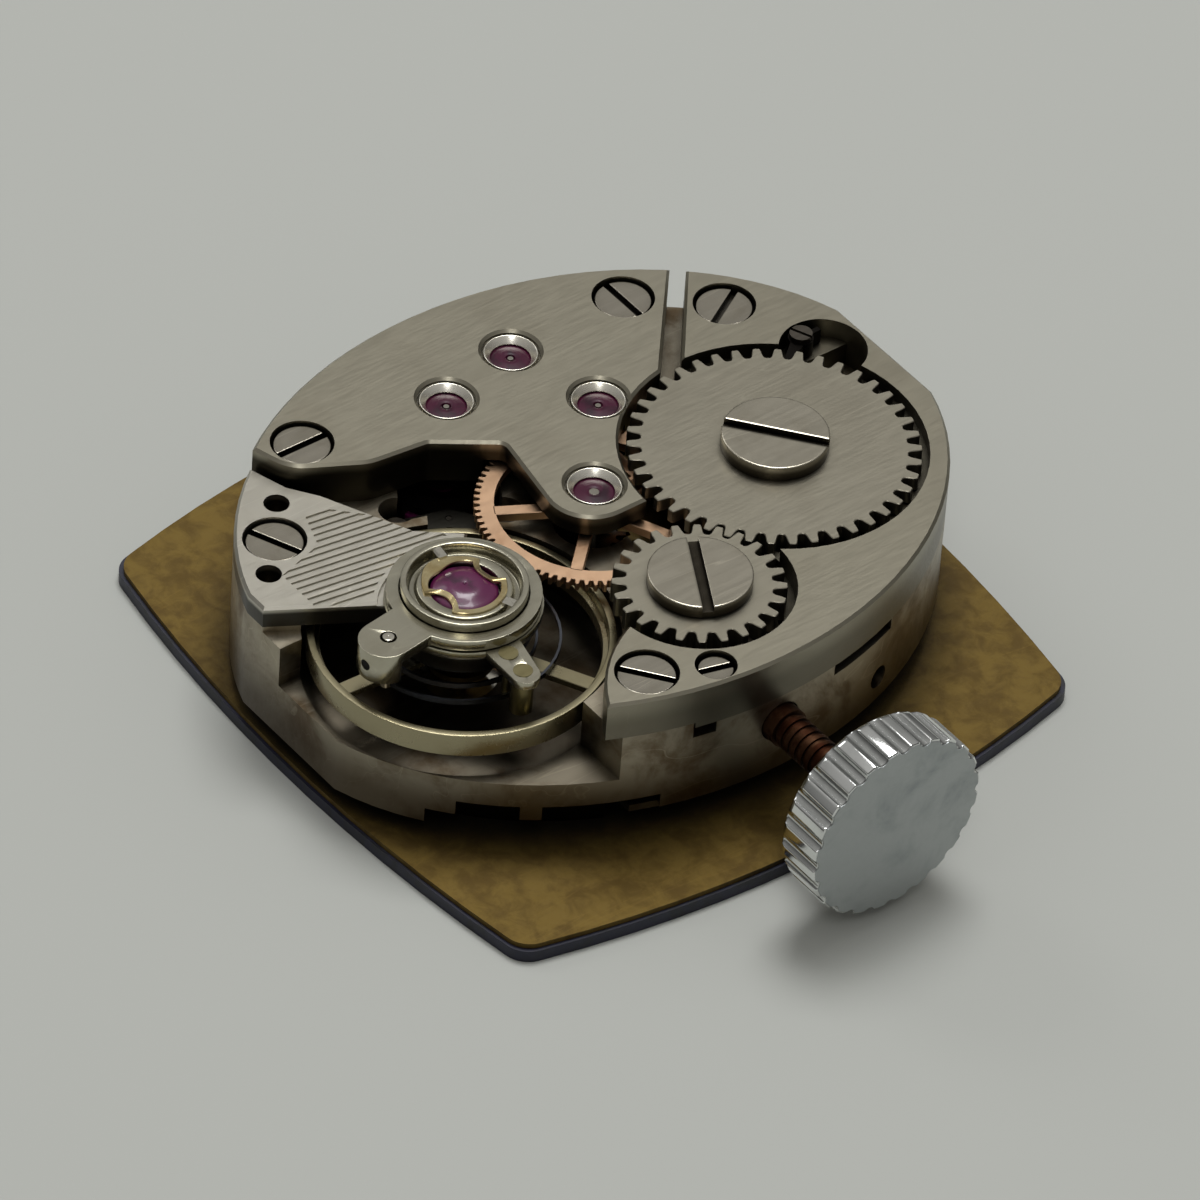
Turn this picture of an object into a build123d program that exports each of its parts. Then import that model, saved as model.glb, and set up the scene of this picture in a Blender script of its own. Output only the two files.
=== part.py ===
from build123d import *
import math
import os

# An oval mechanical watch movement, lying dial down. Millimetres.
# +X runs out along the winding stem, +Y towards the barrel, +Z towards the bridges.
# The origin is on the centre wheel's axis, at the front face of the dial.

os.makedirs("parts", exist_ok=True)

# Overall outline, seen from above: an oval with a flat across each end
half_width = 6.32
half_length = 7.80
flat_depth = 0.24

# Heights of the stacked plates
dial_thickness = 0.40
base_height = 0.80
flange_height = 1.95
bridge_height = 1.05
bridge_web = 0.48
cock_thickness = 0.50
cock_drop = 0.42
train_depth = 1.20
web_thickness = 0.23
stem_height = 2.46

# Dial
dial_half_x = 6.99
dial_half_y = 7.08
dial_bow_x = 0.90
dial_bow_y = 0.62
dial_corner = 0.60
dial_shift_x = 0.09
dial_shift_y = 0.11
dial_back_thickness = 0.12
dial_back_inset = 0.07
dial_hole_radius = 0.80

# Places of the axes and screws, as shares of half_width and half_length
barrel_shares = (0.175, 0.486)
third_shares = (-0.331, 0.218)
fourth_shares = (-0.677, 0.140)
escape_shares = (-0.601, -0.118)
balance_shares = (0.182, -0.536)
click_shares = (-0.216, 0.824)
click_opening_shares = (-0.117, 0.836)
bridge_screw_shares = ((-0.687, 0.521), (-0.687, -0.538), (-0.475, 0.729), (0.809, -0.332))
bridge_screw_slots = (0, 90, -60, 38)
cock_screw_shares = (-0.415, -0.785)
cock_screw_slot = 24
cock_hole_shares = ((-0.551, -0.699), (-0.290, -0.878))
lever_pivot_shares = (0.905, -0.168)
yoke_pivot_shares = (0.617, -0.282)

# Outlines of the bridges, as shares of half_width and half_length
slot_outer_share = (-0.752, 0.721)
slot_inner_share = (-0.386, 0.463)
nose_top_share = (0.153, 0.086)
nose_corner_share = (0.153, -0.163)
knee_share = (-0.321, -0.097)
window_top_share = (-0.464, -0.263)
window_low_share = (-0.487, -0.436)
toe_share = (-0.609, -0.623)
toe_outer_share = (-0.780, -0.668)
barrel_slot_outer_share = (-0.712, 0.750)
barrel_slot_inner_share = (-0.348, 0.506)
barrel_hook_share = (-0.214, 0.423)
barrel_waist_share = (-0.027, 0.203)
barrel_hub_share = (0.280, 0.171)
crown_hub_top_share = (0.410, 0.070)
crown_hub_low_share = (0.450, -0.140)
foot_top_share = (0.585, -0.224)
foot_round_share = (0.699, -0.391)
foot_tip_share = (0.889, -0.503)
cock_outer_share = (-0.820, -0.693)
cock_toe_share = (-0.600, -0.636)
cock_edge_share = (-0.506, -0.581)
cock_neck_share = (-0.206, -0.462)
cock_shoulder_share = (-0.098, -0.353)
cock_corner_share = (0.019, -0.708)
cock_low_share = (-0.182, -0.994)
bridge_corner_radius = 0.45
nose_radius = 0.97
crown_hub_radius = 1.40
bridge_edge = 0.06
window_left_share = (-0.068, -0.705)
window_right_share = (0.665, -0.453)
window_reach_share = 1.20

# Gear trains: tooth counts
barrel_teeth = 72
centre_pinion_teeth = 14
centre_teeth = 80
third_pinion_teeth = 10
third_teeth = 75
fourth_pinion_teeth = 9
fourth_teeth = 63
escape_pinion_teeth = 7
escape_teeth = 15
ratchet_teeth = 42
crown_wheel_teeth = 24
winding_teeth = 18
cannon_teeth = 12
minute_teeth = 36
minute_pinion_teeth = 10
hour_teeth = 40
setting_teeth = 15
crown_flutes = 24
clutch_teeth = 8
addendum_share = 0.80
dedendum_share = 1.30
winding_module = 0.1394
tooth_root_share = 0.62
tooth_tip_share = 0.34

# Gear levels: each wheel hangs below the one above it
wheel_gap = 0.10
centre_wheel_thickness = 0.20
third_drop = 0.32
train_wheel_thickness = 0.14
fourth_drop = 0.30
escape_drop = 0.22
pinion_height = 0.30
pinion_overlap = 0.04
wheel_rim_width = 0.42
wheel_hub_radius = 0.50
wheel_arm_width = 0.26
centre_arms = 5
centre_spoke_turn = -47
train_arms = 4
arbor_radius = 0.13
centre_arbor_radius = 0.20
pivot_radius = 0.06
pivot_length = 0.24
pivot_clearance = 0.015
running_clearance = 0.03
pocket_clearance = 0.09

# Jewels
jewel_radius = 0.47
jewel_thickness = 0.20
jewel_depth = 0.22
setting_radius = 0.62
setting_dish_radius = 0.59
setting_depth = 0.03
setting_countersink = 0.06
lower_jewel_radius = 0.36

# Screws
screw_head_radius = 0.60
screw_head_height = 0.34
screw_head_depth = 0.08
screw_recess_gap = 0.065
screw_shank_radius = 0.28
screw_length = 1.90
screw_slot_width = 0.15
screw_slot_depth = 0.14
small_head_radius = 0.24
small_head_height = 0.12
small_shank_radius = 0.12
small_screw_length = 0.50
small_slot_width = 0.07
lever_head_radius = 0.37
lever_head_depth = 0.10
lever_shank_radius = 0.18
lever_slot_turn = 75

# Barrel, ratchet wheel and winding wheels
drum_radius = 3.05
drum_wall = 0.12
drum_web = 0.20
drum_height = 1.46
barrel_drop = 0.14
barrel_teeth_height = 0.34
barrel_cover_thickness = 0.12
barrel_floor_gap = 0.11
arbor_core_radius = 0.75
arbor_neck_radius = 0.45
arbor_square = 0.80
mainspring_turns = 4
mainspring_thickness = 0.12
mainspring_margin = 0.08
ratchet_thickness = 0.32
ratchet_floor_gap = 0.02
ratchet_sink_radius = 1.78
ratchet_sink_depth = 0.03
ratchet_head_radius = 1.12
ratchet_head_height = 0.35
ratchet_slot_width = 0.24
ratchet_slot_turn = 39
ratchet_recess_gap = 0.16
crown_wheel_bearing = -57.3
crown_wheel_thickness = 0.50
crown_wheel_gap = 0.04
crown_post_radius = 0.60
crown_head_radius = 1.08
crown_head_height = 0.28
crown_head_gap = 0.02
crown_slot_turn = -29
crown_recess_gap = 0.21
click_boss_radius = 0.27
click_height = 0.36
click_depth = 0.14
click_beak_width = 0.14
click_beak_root_width = 0.34
click_beak_reach = 0.10
click_tail_turn = 150
click_opening_radius = 0.93
click_floor_share = -0.160
click_bearing = 136.3
click_spring_width = 0.12
click_spring_height = 0.11
click_spring_inset = 0.15
click_spring_from = 62
click_spring_to = 126

# Escapement and balance
escape_club_share = 0.34
pallet_distance_share = 1.155
pallet_arm_angle = 30
pallet_arm_width = 0.24
stone_length = 0.34
stone_width = 0.13
stone_height = 0.22
fork_thickness = 0.15
lever_width = 0.20
fork_head_width = 0.52
fork_head_length = 0.40
fork_notch_depth = 0.26
impulse_radius = 0.55
impulse_pin_radius = 0.07
impulse_pin_reach = 0.20
notch_clearance = 0.03
roller_radius = 0.70
roller_thickness = 0.12
roller_gap = 0.04
safety_radius = 0.20
pallet_bridge_thickness = 0.20
pallet_bridge_width = 0.52
pallet_foot_radius = 0.30
pallet_foot_offset = 0.35
pallet_foot_spread = 1.10
pallet_bridge_gap = 0.12
balance_radius = 3.14
balance_rim_width = 0.28
balance_rim_height = 0.55
balance_ledge_width = 0.12
balance_ledge_height = 0.28
balance_gap = 0.15
balance_arm_thickness = 0.14
balance_arm_width = 0.36
balance_arm_share = 0.40
balance_arms = 3
balance_turn = 28
balance_hub_radius = 0.36
balance_recess_gap = 0.11
balance_staff_radius = 0.14
front_wall_height = 2.15

# Hairspring: one flat spiral in quarter turns
hairspring_inner = 0.55
hairspring_pitch = 0.485
hairspring_quarters = 14
hairspring_thickness = 0.05
hairspring_width = 0.12
hairspring_rise = 0.05
collet_radius = 0.46

# Regulator, stud carrier and shock setting above the cock
stack_gap = 0.02
collar_radius = 1.33
regulator_ring_radius = 1.62
regulator_thickness = 0.18
regulator_end_margin = 0.40
regulator_arm_root = 0.42
regulator_arm_tip = 0.30
regulator_bearing = -7
carrier_ring_radius = 1.58
carrier_thickness = 0.25
carrier_reach = 2.78
carrier_arm_width = 1.10
carrier_bearing = -82
carrier_lug_drop = 0.48
carrier_lug_length = 0.50
stud_reach = 2.14
stud_radius = 0.17
stud_screw_radius = 0.12
curb_pin_reach = 1.80
curb_key_gap = 0.24
curb_pin_radius = 0.10
curb_key_radius = 0.24
curb_head_radius = 0.20
curb_head_height = 0.10
shock_flange_radius = 1.30
shock_flange_height = 0.68
shock_body_radius = 0.80
shock_dish_radius = 1.18
shock_seat_radius = 1.00
shock_dish_depth = 0.13
cap_jewel_radius = 0.70
cap_jewel_height = 0.18
cap_jewel_crown = 0.14
cap_jewel_table = 0.30
shock_jewel_gap = 0.05
shock_spring_width = 0.11
shock_spring_height = 0.06
shock_loop_radius = 0.42
cock_boss_radius = 1.42
cock_sink_radius = 1.74
cock_sink_depth = 0.08
cock_hole_radius = 0.27
rib_pitch = 0.185
rib_width = 0.09
rib_depth = 0.04
rib_count = 15
rib_turn = -8
rib_start = 3
rib_length = 5.00
rib_area_shares = ((-0.502, -0.652), (-0.314, -0.706), (-0.205, -1.000), (0.100, -0.800), (0.019, -0.600),
                   (-0.110, -0.400), (-0.234, -0.440))

# Keyless work and crown
winding_x = 5.10
winding_width = 0.36
winding_pocket_gap = 0.09
sliding_x = 3.30
sliding_length = 1.50
sliding_radius = 0.88
sliding_groove_radius = 0.55
sliding_groove_width = 0.34
sliding_groove_x = 0.56
clutch_height = 0.12
clutch_radius = 0.80
clutch_gap = 0.06
clutch_gap_share = 1.35
stem_pull = 0.35
stem_radius = 0.44
stem_square = 0.62
stem_pilot_radius = 0.24
stem_start_x = 2.30
stem_shoulder_x = 2.95
stem_round_x = 4.95
stem_groove_x = 5.55
stem_groove_width = 0.27
stem_groove_radius = 0.28
stem_thread_x = 6.60
stem_thread_radius = 0.40
stem_thread_pitch = 0.22
stem_thread_depth = 0.05
pilot_lug_length = 0.45
lever_thickness = 0.18
lever_arm_width = 0.30
lever_pin_radius = 0.10
lever_boss_radius = 0.27
yoke_width = 0.44
yoke_tongue_width = 0.16
yoke_tongue_length = 0.56
yoke_tongue_rise = 0.34
yoke_boss_radius = 0.40
yoke_spring_radius = 0.05
yoke_spring_offset = 0.36
yoke_spring_length = 1.30
keyless_depth = 0.32
keyless_inset = 0.12
keyless_ledge = 0.50
keyless_x_share = 0.530
keyless_low_share = -0.353
keyless_high_share = 0.070
keyless_cover_thickness = 0.17
cover_screw_shares = ((0.560, -0.388), (0.690, -0.388))
crown_radius = 2.12
crown_front_x = 10.10
crown_length = 1.15
crown_neck_length = 0.45
crown_neck_radius = 0.95
crown_dome = 0.22
crown_rim = 0.10
flute_radius = 0.16
flute_depth = 0.11
crown_bore_length = 0.80

# Motion work under the dial side
motion_distance = 1.92
minute_bearing = -60
setting_bearing = 48
motion_wheel_thickness = 0.20
motion_wheel_gap = 0.06
hour_wheel_thickness = 0.15
hour_wheel_height = 0.32
hour_floor_height = 0.65
hour_pipe_radius = 0.62
cannon_radius = 0.38
motion_post_radius = 0.15
motion_pocket_gap = 0.10

# Main plate details
base_share = 0.88
lip_height = 0.35
lip_line_share = -0.850
lip_width = 0.55
notch_height = 0.35
notch_depth = 0.60
notch_reach_shares = ((0.605, -0.800), (0.735, -0.672), (0.785, -0.630), (0.955, -0.350))
foot_pad_height = 0.13
foot_pad_line_share = -0.263
cock_pad_line_share = -0.600
cock_pad_edge_share = -0.068
pry_depth = 0.30
pry_height = 0.26
pry_shares = ((0.973, -0.235), (0.940, 0.300))
pry_widths = (0.52, 1.90)
casing_hole_radius = 0.26
casing_hole_depth = 0.50
casing_hole_shares = (0.926, 0.379)
casing_hole_height = 0.60

# Sizes worked out from the others
overrun = 0.50
flat_distance = half_length - flat_depth
flange_bottom = dial_thickness + base_height
plate_top = flange_bottom + flange_height
bridge_top = plate_top + bridge_height
web_under = bridge_top - bridge_web
train_floor = plate_top - train_depth
motion_ceiling = train_floor - web_thickness
cock_top = bridge_top - cock_drop
cock_under = cock_top - cock_thickness
centre_wheel_top = web_under - wheel_gap
centre_wheel_low = centre_wheel_top - centre_wheel_thickness
third_top = centre_wheel_low - third_drop
third_low = third_top - train_wheel_thickness
fourth_top = third_low - fourth_drop
fourth_low = fourth_top - train_wheel_thickness
escape_top = fourth_low - escape_drop
escape_low = escape_top - fork_thickness
drum_top = third_low - barrel_drop
drum_low = drum_top - drum_height
barrel_floor = drum_low - barrel_floor_gap
barrel_teeth_low = drum_top - barrel_teeth_height
ratchet_low = bridge_top - ratchet_thickness
crown_wheel_low = bridge_top - crown_wheel_thickness
crown_floor = crown_wheel_low - crown_wheel_gap
rim_top = cock_under - balance_gap
rim_low = rim_top - balance_rim_height
arm_low = rim_low + balance_arm_share * balance_rim_height
arm_top = arm_low + balance_arm_thickness
spring_low = arm_top + hairspring_rise
spring_top = spring_low + hairspring_width
curb_key_reach = balance_radius - balance_rim_width - curb_key_gap - curb_key_radius
regulator_reach = curb_key_reach + regulator_end_margin
cap_low = cock_top + shock_flange_height - shock_dish_depth - shock_jewel_gap - cap_jewel_height
roller_low = escape_top + roller_gap
regulator_low = cock_top + stack_gap
regulator_top = regulator_low + regulator_thickness
carrier_low = regulator_top + stack_gap
carrier_top = carrier_low + carrier_thickness
keyless_top = flange_bottom + keyless_depth
lever_top = keyless_top - running_clearance
lever_low = lever_top - lever_thickness
cover_top = lever_low - running_clearance
minute_top = motion_ceiling - motion_wheel_gap
minute_low = minute_top - motion_wheel_thickness
hour_low = dial_thickness + hour_wheel_height
hour_top = hour_low + hour_wheel_thickness
hour_ceiling = dial_thickness + hour_floor_height
cannon_bore_radius = centre_arbor_radius - running_clearance


# Small helpers for places, bars and plates
def at(shares):
    """A place on the plan, from its shares of half_width and half_length."""
    return (shares[0] * half_width, shares[1] * half_length)


def polar(place, radius, bearing):
    """The place at a radius and bearing from another place."""
    angle = math.radians(bearing)
    return (place[0] + radius * math.cos(angle), place[1] + radius * math.sin(angle))


def bearing_of(start, end):
    return math.degrees(math.atan2(end[1] - start[1], end[0] - start[0]))


STANDING = (Align.CENTER, Align.CENTER, Align.MIN)
centre = (0, 0)
barrel = at(barrel_shares)
third = at(third_shares)
fourth = at(fourth_shares)
escape = at(escape_shares)
balance = at(balance_shares)
click_pivot = at(click_shares)
lever_pivot = at(lever_pivot_shares)
yoke_pivot = at(yoke_pivot_shares)
winding_distance = winding_module * (ratchet_teeth + crown_wheel_teeth) / 2
crown_wheel_place = polar(barrel, winding_distance, crown_wheel_bearing)
motion_module = 2 * motion_distance / (cannon_teeth + minute_teeth)
hour_module = 2 * motion_distance / (minute_pinion_teeth + hour_teeth)
minute_place = polar(centre, motion_distance, minute_bearing)
setting_place = polar(minute_place, motion_module * (minute_teeth + setting_teeth) / 2, setting_bearing)


def bar(radius, low, high, place=centre):
    """A round bar standing on the plan."""
    return Pos(place[0], place[1], low) * Cylinder(radius, high - low, align=STANDING)


def washer(outer, inner, low, high, place=centre):
    return bar(outer, low, high, place) - bar(inner, low - overrun, high + overrun, place)


def dish(low_radius, high_radius, low, high, place=centre):
    """A round taper standing on the plan."""
    return Pos(place[0], place[1], low) * Cone(low_radius, high_radius, high - low, align=STANDING)


def slab(face, low, high):
    return extrude(Pos(0, 0, low) * face, amount=high - low)


def block(length, width, low, high, place=centre, turn=0, start=0):
    """A box that starts at a distance from a place and runs along a bearing."""
    body = Pos(start + length / 2, 0, 0) * Box(length, width, high - low, align=STANDING)
    return Pos(place[0], place[1], low) * Rot(0, 0, turn) * body


def lying(radius, start_x, end_x):
    """A round bar on the stem's axis."""
    return Pos(start_x, 0, stem_height) * Rot(0, 90, 0) * Cylinder(radius, end_x - start_x, align=STANDING)


def lying_square(side, start_x, end_x):
    return Pos(start_x, 0, stem_height) * Rot(0, 90, 0) * Box(side, side, end_x - start_x, align=STANDING)


def outline_face(*corners):
    """A plan face through corners given as shares."""
    points = [at(corner) for corner in corners]
    return make_face(Polyline(*points, close=True))


def rounded(face, corner, radius):
    """The face with the corner nearest to a share point rounded."""
    spot = Vector(*at(corner))
    nearest = sorted(face.vertices(), key=lambda vertex: (vertex.center() - spot).length)[0]
    return fillet(nearest, radius)


def oval(share=1, inset=0):
    """The movement's outline: an ellipse cut by two flats."""
    width = (half_width - inset) * share
    length = (half_length - inset) * share
    flats = (flat_distance - inset) * share
    return Ellipse(width, length) & Rectangle(2 * width, 2 * flats)


def toothed_face(teeth, root, tip, turn=0, root_share=tooth_root_share, tip_share=tooth_tip_share, lean=0):
    """A toothed outline: four points for each tooth, leaned over by a share of the half pitch."""
    points = []
    for tooth in range(teeth):
        corners = ((root, -root_share), (tip, lean - tip_share), (tip, lean + tip_share), (root, root_share))
        for radius, share in corners:
            points.append(polar(centre, radius, turn + (tooth + share / 2) * 360 / teeth))
    return make_face(Polyline(*points, close=True))


def gear(teeth, module, low, high, place=centre, turn=0):
    radius = module * teeth / 2
    face = toothed_face(teeth, radius - dedendum_share * module, radius + addendum_share * module, turn)
    return Pos(place[0], place[1], 0) * slab(face, low, high)


def tip_radius(teeth, module):
    return module * (teeth / 2 + addendum_share)


def mesh_turn(place, teeth, turn, other_place, other_teeth):
    """The turn that puts a gap of the other wheel on a tooth of this one."""
    bearing = bearing_of(place, other_place)
    return bearing + 180 + (bearing - turn) * teeth / other_teeth + 180 / other_teeth


def spoked(solid, outer, arms, low, high, place, turn=0):
    """A wheel with its windows cut away and its arms left."""
    windows = washer(outer - wheel_rim_width, wheel_hub_radius, low - overrun, high + overrun, place)
    for arm in range(arms):
        bearing = turn + arm * 360 / arms
        windows -= block(outer, wheel_arm_width, low - overrun, high + overrun, place, bearing)
    return solid - windows


def arbor(place, low, high, radius):
    """An arbor with a thinner pivot at each end."""
    body = bar(pivot_radius, low, high, place)
    return body + bar(radius, low + pivot_length, high - pivot_length, place)


def slotted(head, place, top, width, depth, turn):
    """A screw head with its slot cut."""
    reach = 4 * half_width
    return head - block(reach, width, top - depth, top + overrun, place, turn, -reach / 2)


def save(name, *solids):
    """Write one sub-part, with each of its separate solids."""
    bodies = []
    for solid in solids:
        bodies.extend(solid.solids())
    part = bodies[0] if len(bodies) == 1 else Compound(children=bodies)
    export_step(part, f"parts/{name}.step")


# Gear modules and turns of the going train, so that every pair is in mesh
def distance(first, second):
    return math.hypot(first[0] - second[0], first[1] - second[1])


barrel_module = 2 * distance(barrel, centre) / (barrel_teeth + centre_pinion_teeth)
centre_module = 2 * distance(centre, third) / (centre_teeth + third_pinion_teeth)
third_module = 2 * distance(third, fourth) / (third_teeth + fourth_pinion_teeth)
fourth_module = 2 * distance(fourth, escape) / (fourth_teeth + escape_pinion_teeth)
escape_radius = fourth_module * fourth_teeth / 2
barrel_tip = tip_radius(barrel_teeth, barrel_module)
centre_tip = tip_radius(centre_teeth, centre_module)
third_tip = tip_radius(third_teeth, third_module)
fourth_tip = tip_radius(fourth_teeth, fourth_module)
ratchet_tip = tip_radius(ratchet_teeth, winding_module)
crown_wheel_tip = tip_radius(crown_wheel_teeth, winding_module)
winding_tip = tip_radius(winding_teeth, winding_module)
ratchet_recess = ratchet_tip + ratchet_recess_gap
crown_recess = crown_wheel_tip + crown_recess_gap
ratchet_turn = click_bearing + 180 / ratchet_teeth
crown_wheel_turn = mesh_turn(barrel, ratchet_teeth, ratchet_turn, crown_wheel_place, crown_wheel_teeth)
centre_pinion_turn = mesh_turn(barrel, barrel_teeth, 0, centre, centre_pinion_teeth)
third_pinion_turn = mesh_turn(centre, centre_teeth, 0, third, third_pinion_teeth)
fourth_pinion_turn = mesh_turn(third, third_teeth, 0, fourth, fourth_pinion_teeth)
escape_pinion_turn = mesh_turn(fourth, fourth_teeth, 0, escape, escape_pinion_teeth)
minute_turn = mesh_turn(centre, cannon_teeth, 0, minute_place, minute_teeth)
setting_turn = mesh_turn(minute_place, minute_teeth, minute_turn, setting_place, setting_teeth)
hour_turn = mesh_turn(minute_place, minute_pinion_teeth, 0, centre, hour_teeth)

# The escapement lies in line from the escape wheel to the balance
escape_room = distance(escape, fourth) - arbor_radius - pocket_clearance
escape_tip = escape_radius * escape_room / distance(escape, fourth)
escape_line = bearing_of(escape, balance)
pallet = polar(escape, escape_tip * pallet_distance_share, escape_line)
lever_reach = distance(pallet, balance) - impulse_radius


def pallet_place(along, across):
    """A place given along and across the line from the pallet to the balance."""
    return polar(polar(pallet, along, escape_line), across, escape_line + 90)


pallet_feet = (
    pallet_place(pallet_foot_offset, pallet_foot_spread),
    pallet_place(pallet_foot_offset, -pallet_foot_spread),
)


# Dial: a cushion-shaped front with a thinner brass back
def cushion(inset=0):
    """A square with bowed sides and rounded corners."""
    x = dial_half_x - inset
    y = dial_half_y - inset
    sides = [
        ThreePointArc((-x, -y), (0, -y - dial_bow_y), (x, -y)),
        ThreePointArc((x, -y), (x + dial_bow_x, 0), (x, y)),
        ThreePointArc((x, y), (0, y + dial_bow_y), (-x, y)),
        ThreePointArc((-x, y), (-x - dial_bow_x, 0), (-x, -y)),
    ]
    face = make_face(sides)
    face = fillet(face.vertices(), dial_corner)
    return Pos(dial_shift_x, dial_shift_y) * face


def make_dial():
    back_low = dial_thickness - dial_back_thickness
    hole = bar(dial_hole_radius, -overrun, dial_thickness + overrun)
    save("dial_face", slab(cushion(), 0, back_low) - hole)
    save("dial_back", slab(cushion(dial_back_inset), back_low, dial_thickness) - hole)


# Screws
def screw(place, head_top, head_radius, head_height, shank_radius, length, slot_width, slot_depth, turn):
    head = bar(head_radius, head_top - head_height, head_top, place)
    head = slotted(head, place, head_top, slot_width, slot_depth, turn)
    return head + bar(shank_radius, head_top - head_height - length, head_top - head_height, place)


bridge_screw_places = [at(shares) for shares in bridge_screw_shares]
cock_screw_place = at(cock_screw_shares)
cover_screw_places = [at(shares) for shares in cover_screw_shares]
bridge_head_top = bridge_top - screw_head_depth
cock_head_top = cock_top - screw_head_depth
lever_head_top = bridge_top - lever_head_depth
click_top = ratchet_low + click_height - click_depth
click_low = ratchet_low - click_depth
pallet_bridge_low = escape_top + pallet_bridge_gap
pallet_bridge_top = pallet_bridge_low + pallet_bridge_thickness
pallet_head_top = pallet_bridge_top + small_head_height
cover_low = cover_top - keyless_cover_thickness


def bridge_screw(place, head_top, turn):
    return screw(place, head_top, screw_head_radius, screw_head_height, screw_shank_radius, screw_length,
                 screw_slot_width, screw_slot_depth, turn)


def small_screw(place, head_top):
    return screw(place, head_top, small_head_radius, small_head_height, small_shank_radius,
                 small_screw_length, small_slot_width, small_slot_width, cock_screw_slot)


def screw_seat(place, head_top):
    """The room that a bridge screw takes: its recess and its shank hole."""
    head_low = head_top - screw_head_height
    recess = bar(screw_head_radius + screw_recess_gap, head_low, bridge_top + overrun, place)
    return recess + bar(screw_shank_radius, head_low - screw_length, head_low, place)


def small_seat(place, head_low):
    return bar(small_shank_radius, head_low - small_screw_length, head_low, place)


def make_screws():
    bridge_screws = []
    for place, turn in zip(bridge_screw_places, bridge_screw_slots):
        bridge_screws.append(bridge_screw(place, bridge_head_top, turn))
    bridge_screws.append(bridge_screw(cock_screw_place, cock_head_top, cock_screw_slot))
    save("bridge_screws", *bridge_screws)
    small_screws = []
    small_tops = [(place, pallet_head_top) for place in pallet_feet]
    small_tops.append((click_pivot, click_top + small_head_height))
    for place, head_top in small_tops:
        small_screws.append(small_screw(place, head_top))
    for place in cover_screw_places:
        upright = small_screw(place, small_head_height)
        small_screws.append(Pos(0, 0, cover_low) * mirror(upright, Plane.XY))
    save("small_screws", *small_screws)
    shank_length = lever_head_top - screw_head_height - lever_low
    save("setting_lever_screw",
         screw(lever_pivot, lever_head_top, lever_head_radius, screw_head_height, lever_shank_radius,
               shank_length, 2 * small_slot_width, screw_slot_depth, lever_slot_turn))


# Bridges
def train_region():
    """Outline of the train bridge, trimmed by the oval and by the ratchet wheel's recess."""
    far = -2 * half_width
    top = slot_outer_share[1] * half_length
    low = toe_outer_share[1] * half_length
    points = [at(corner) for corner in (
        slot_outer_share, slot_inner_share, nose_top_share, nose_corner_share, knee_share,
        window_top_share, window_low_share, toe_share, toe_outer_share)]
    face = make_face(Polyline(*points, (far, low), (far, top), close=True))
    face = rounded(face, nose_corner_share, nose_radius)
    for corner in (window_low_share, toe_share):
        face = rounded(face, corner, 2 * bridge_corner_radius)
    for corner in (knee_share, window_top_share):
        face = rounded(face, corner, bridge_corner_radius / 2)
    ratchet_side = Pos(*barrel) * Circle(ratchet_recess)
    return (face - ratchet_side) & oval()


def barrel_region():
    """Outline of the barrel bridge, trimmed by the oval. A round hub carries the crown wheel."""
    slot_out, slot_in, hook, waist, hub = [at(corner) for corner in (
        barrel_slot_outer_share, barrel_slot_inner_share, barrel_hook_share, barrel_waist_share,
        barrel_hub_share)]
    crown_top, crown_low, foot_top, foot_round, foot_tip = [at(corner) for corner in (
        crown_hub_top_share, crown_hub_low_share, foot_top_share, foot_round_share, foot_tip_share)]
    right = 2 * half_width
    top = 2 * half_length
    lines = [
        Line(slot_out, slot_in), Line(slot_in, hook), ThreePointArc(hook, waist, hub), Line(hub, crown_top),
        Line(crown_top, crown_low), Line(crown_low, foot_top), ThreePointArc(foot_top, foot_round, foot_tip),
        Line(foot_tip, (right, foot_tip[1])), Line((right, foot_tip[1]), (right, top)),
        Line((right, top), (slot_out[0], top)), Line((slot_out[0], top), slot_out)]
    return (make_face(lines) + Pos(*crown_wheel_place) * Circle(crown_hub_radius)) & oval()


def cock_region():
    """Outline of the balance cock: a wedge that ends in the round boss over the balance."""
    wedge = outline_face(cock_outer_share, cock_toe_share, cock_edge_share, cock_neck_share,
                         cock_shoulder_share, balance_shares, cock_corner_share, cock_low_share,
                         (cock_outer_share[0], cock_low_share[1]))
    return (wedge + Pos(*balance) * Circle(cock_boss_radius)) & oval()


def edged(solid, top):
    """The solid with a bevel round its upper edges."""
    rim = [edge for edge in solid.edges() if min(v.Z for v in edge.vertices()) > top - bridge_edge / 2]
    return chamfer(rim, bridge_edge)


def foot_pad(low, high):
    """The step under the tip of the barrel bridge."""
    line = foot_pad_line_share * half_length
    area = Pos(half_width, line - half_length / 2) * Rectangle(half_width, half_length)
    return slab(area & oval(), low, high)


def make_train_bridge():
    bridge = edged(slab(train_region(), plate_top, bridge_top), bridge_top)
    bridge -= bar(centre_tip + pocket_clearance, plate_top - overrun, web_under)
    for place, teeth, module in ((third, third_pinion_teeth, centre_module),
                                 (fourth, fourth_pinion_teeth, third_module),
                                 (escape, escape_pinion_teeth, fourth_module)):
        pocket = tip_radius(teeth, module) + setting_radius - lower_jewel_radius
        bridge -= bar(pocket, plate_top - overrun, web_under, place)
    for place in (centre, third, fourth, escape):
        bridge -= bar(setting_radius, plate_top, bridge_top + overrun, place)
        rim = setting_radius + setting_countersink
        bridge -= dish(setting_radius, rim, bridge_top - setting_countersink, bridge_top, place)
    for place in bridge_screw_places[:2]:
        bridge -= screw_seat(place, bridge_head_top)
    save("train_bridge", bridge)


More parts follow.
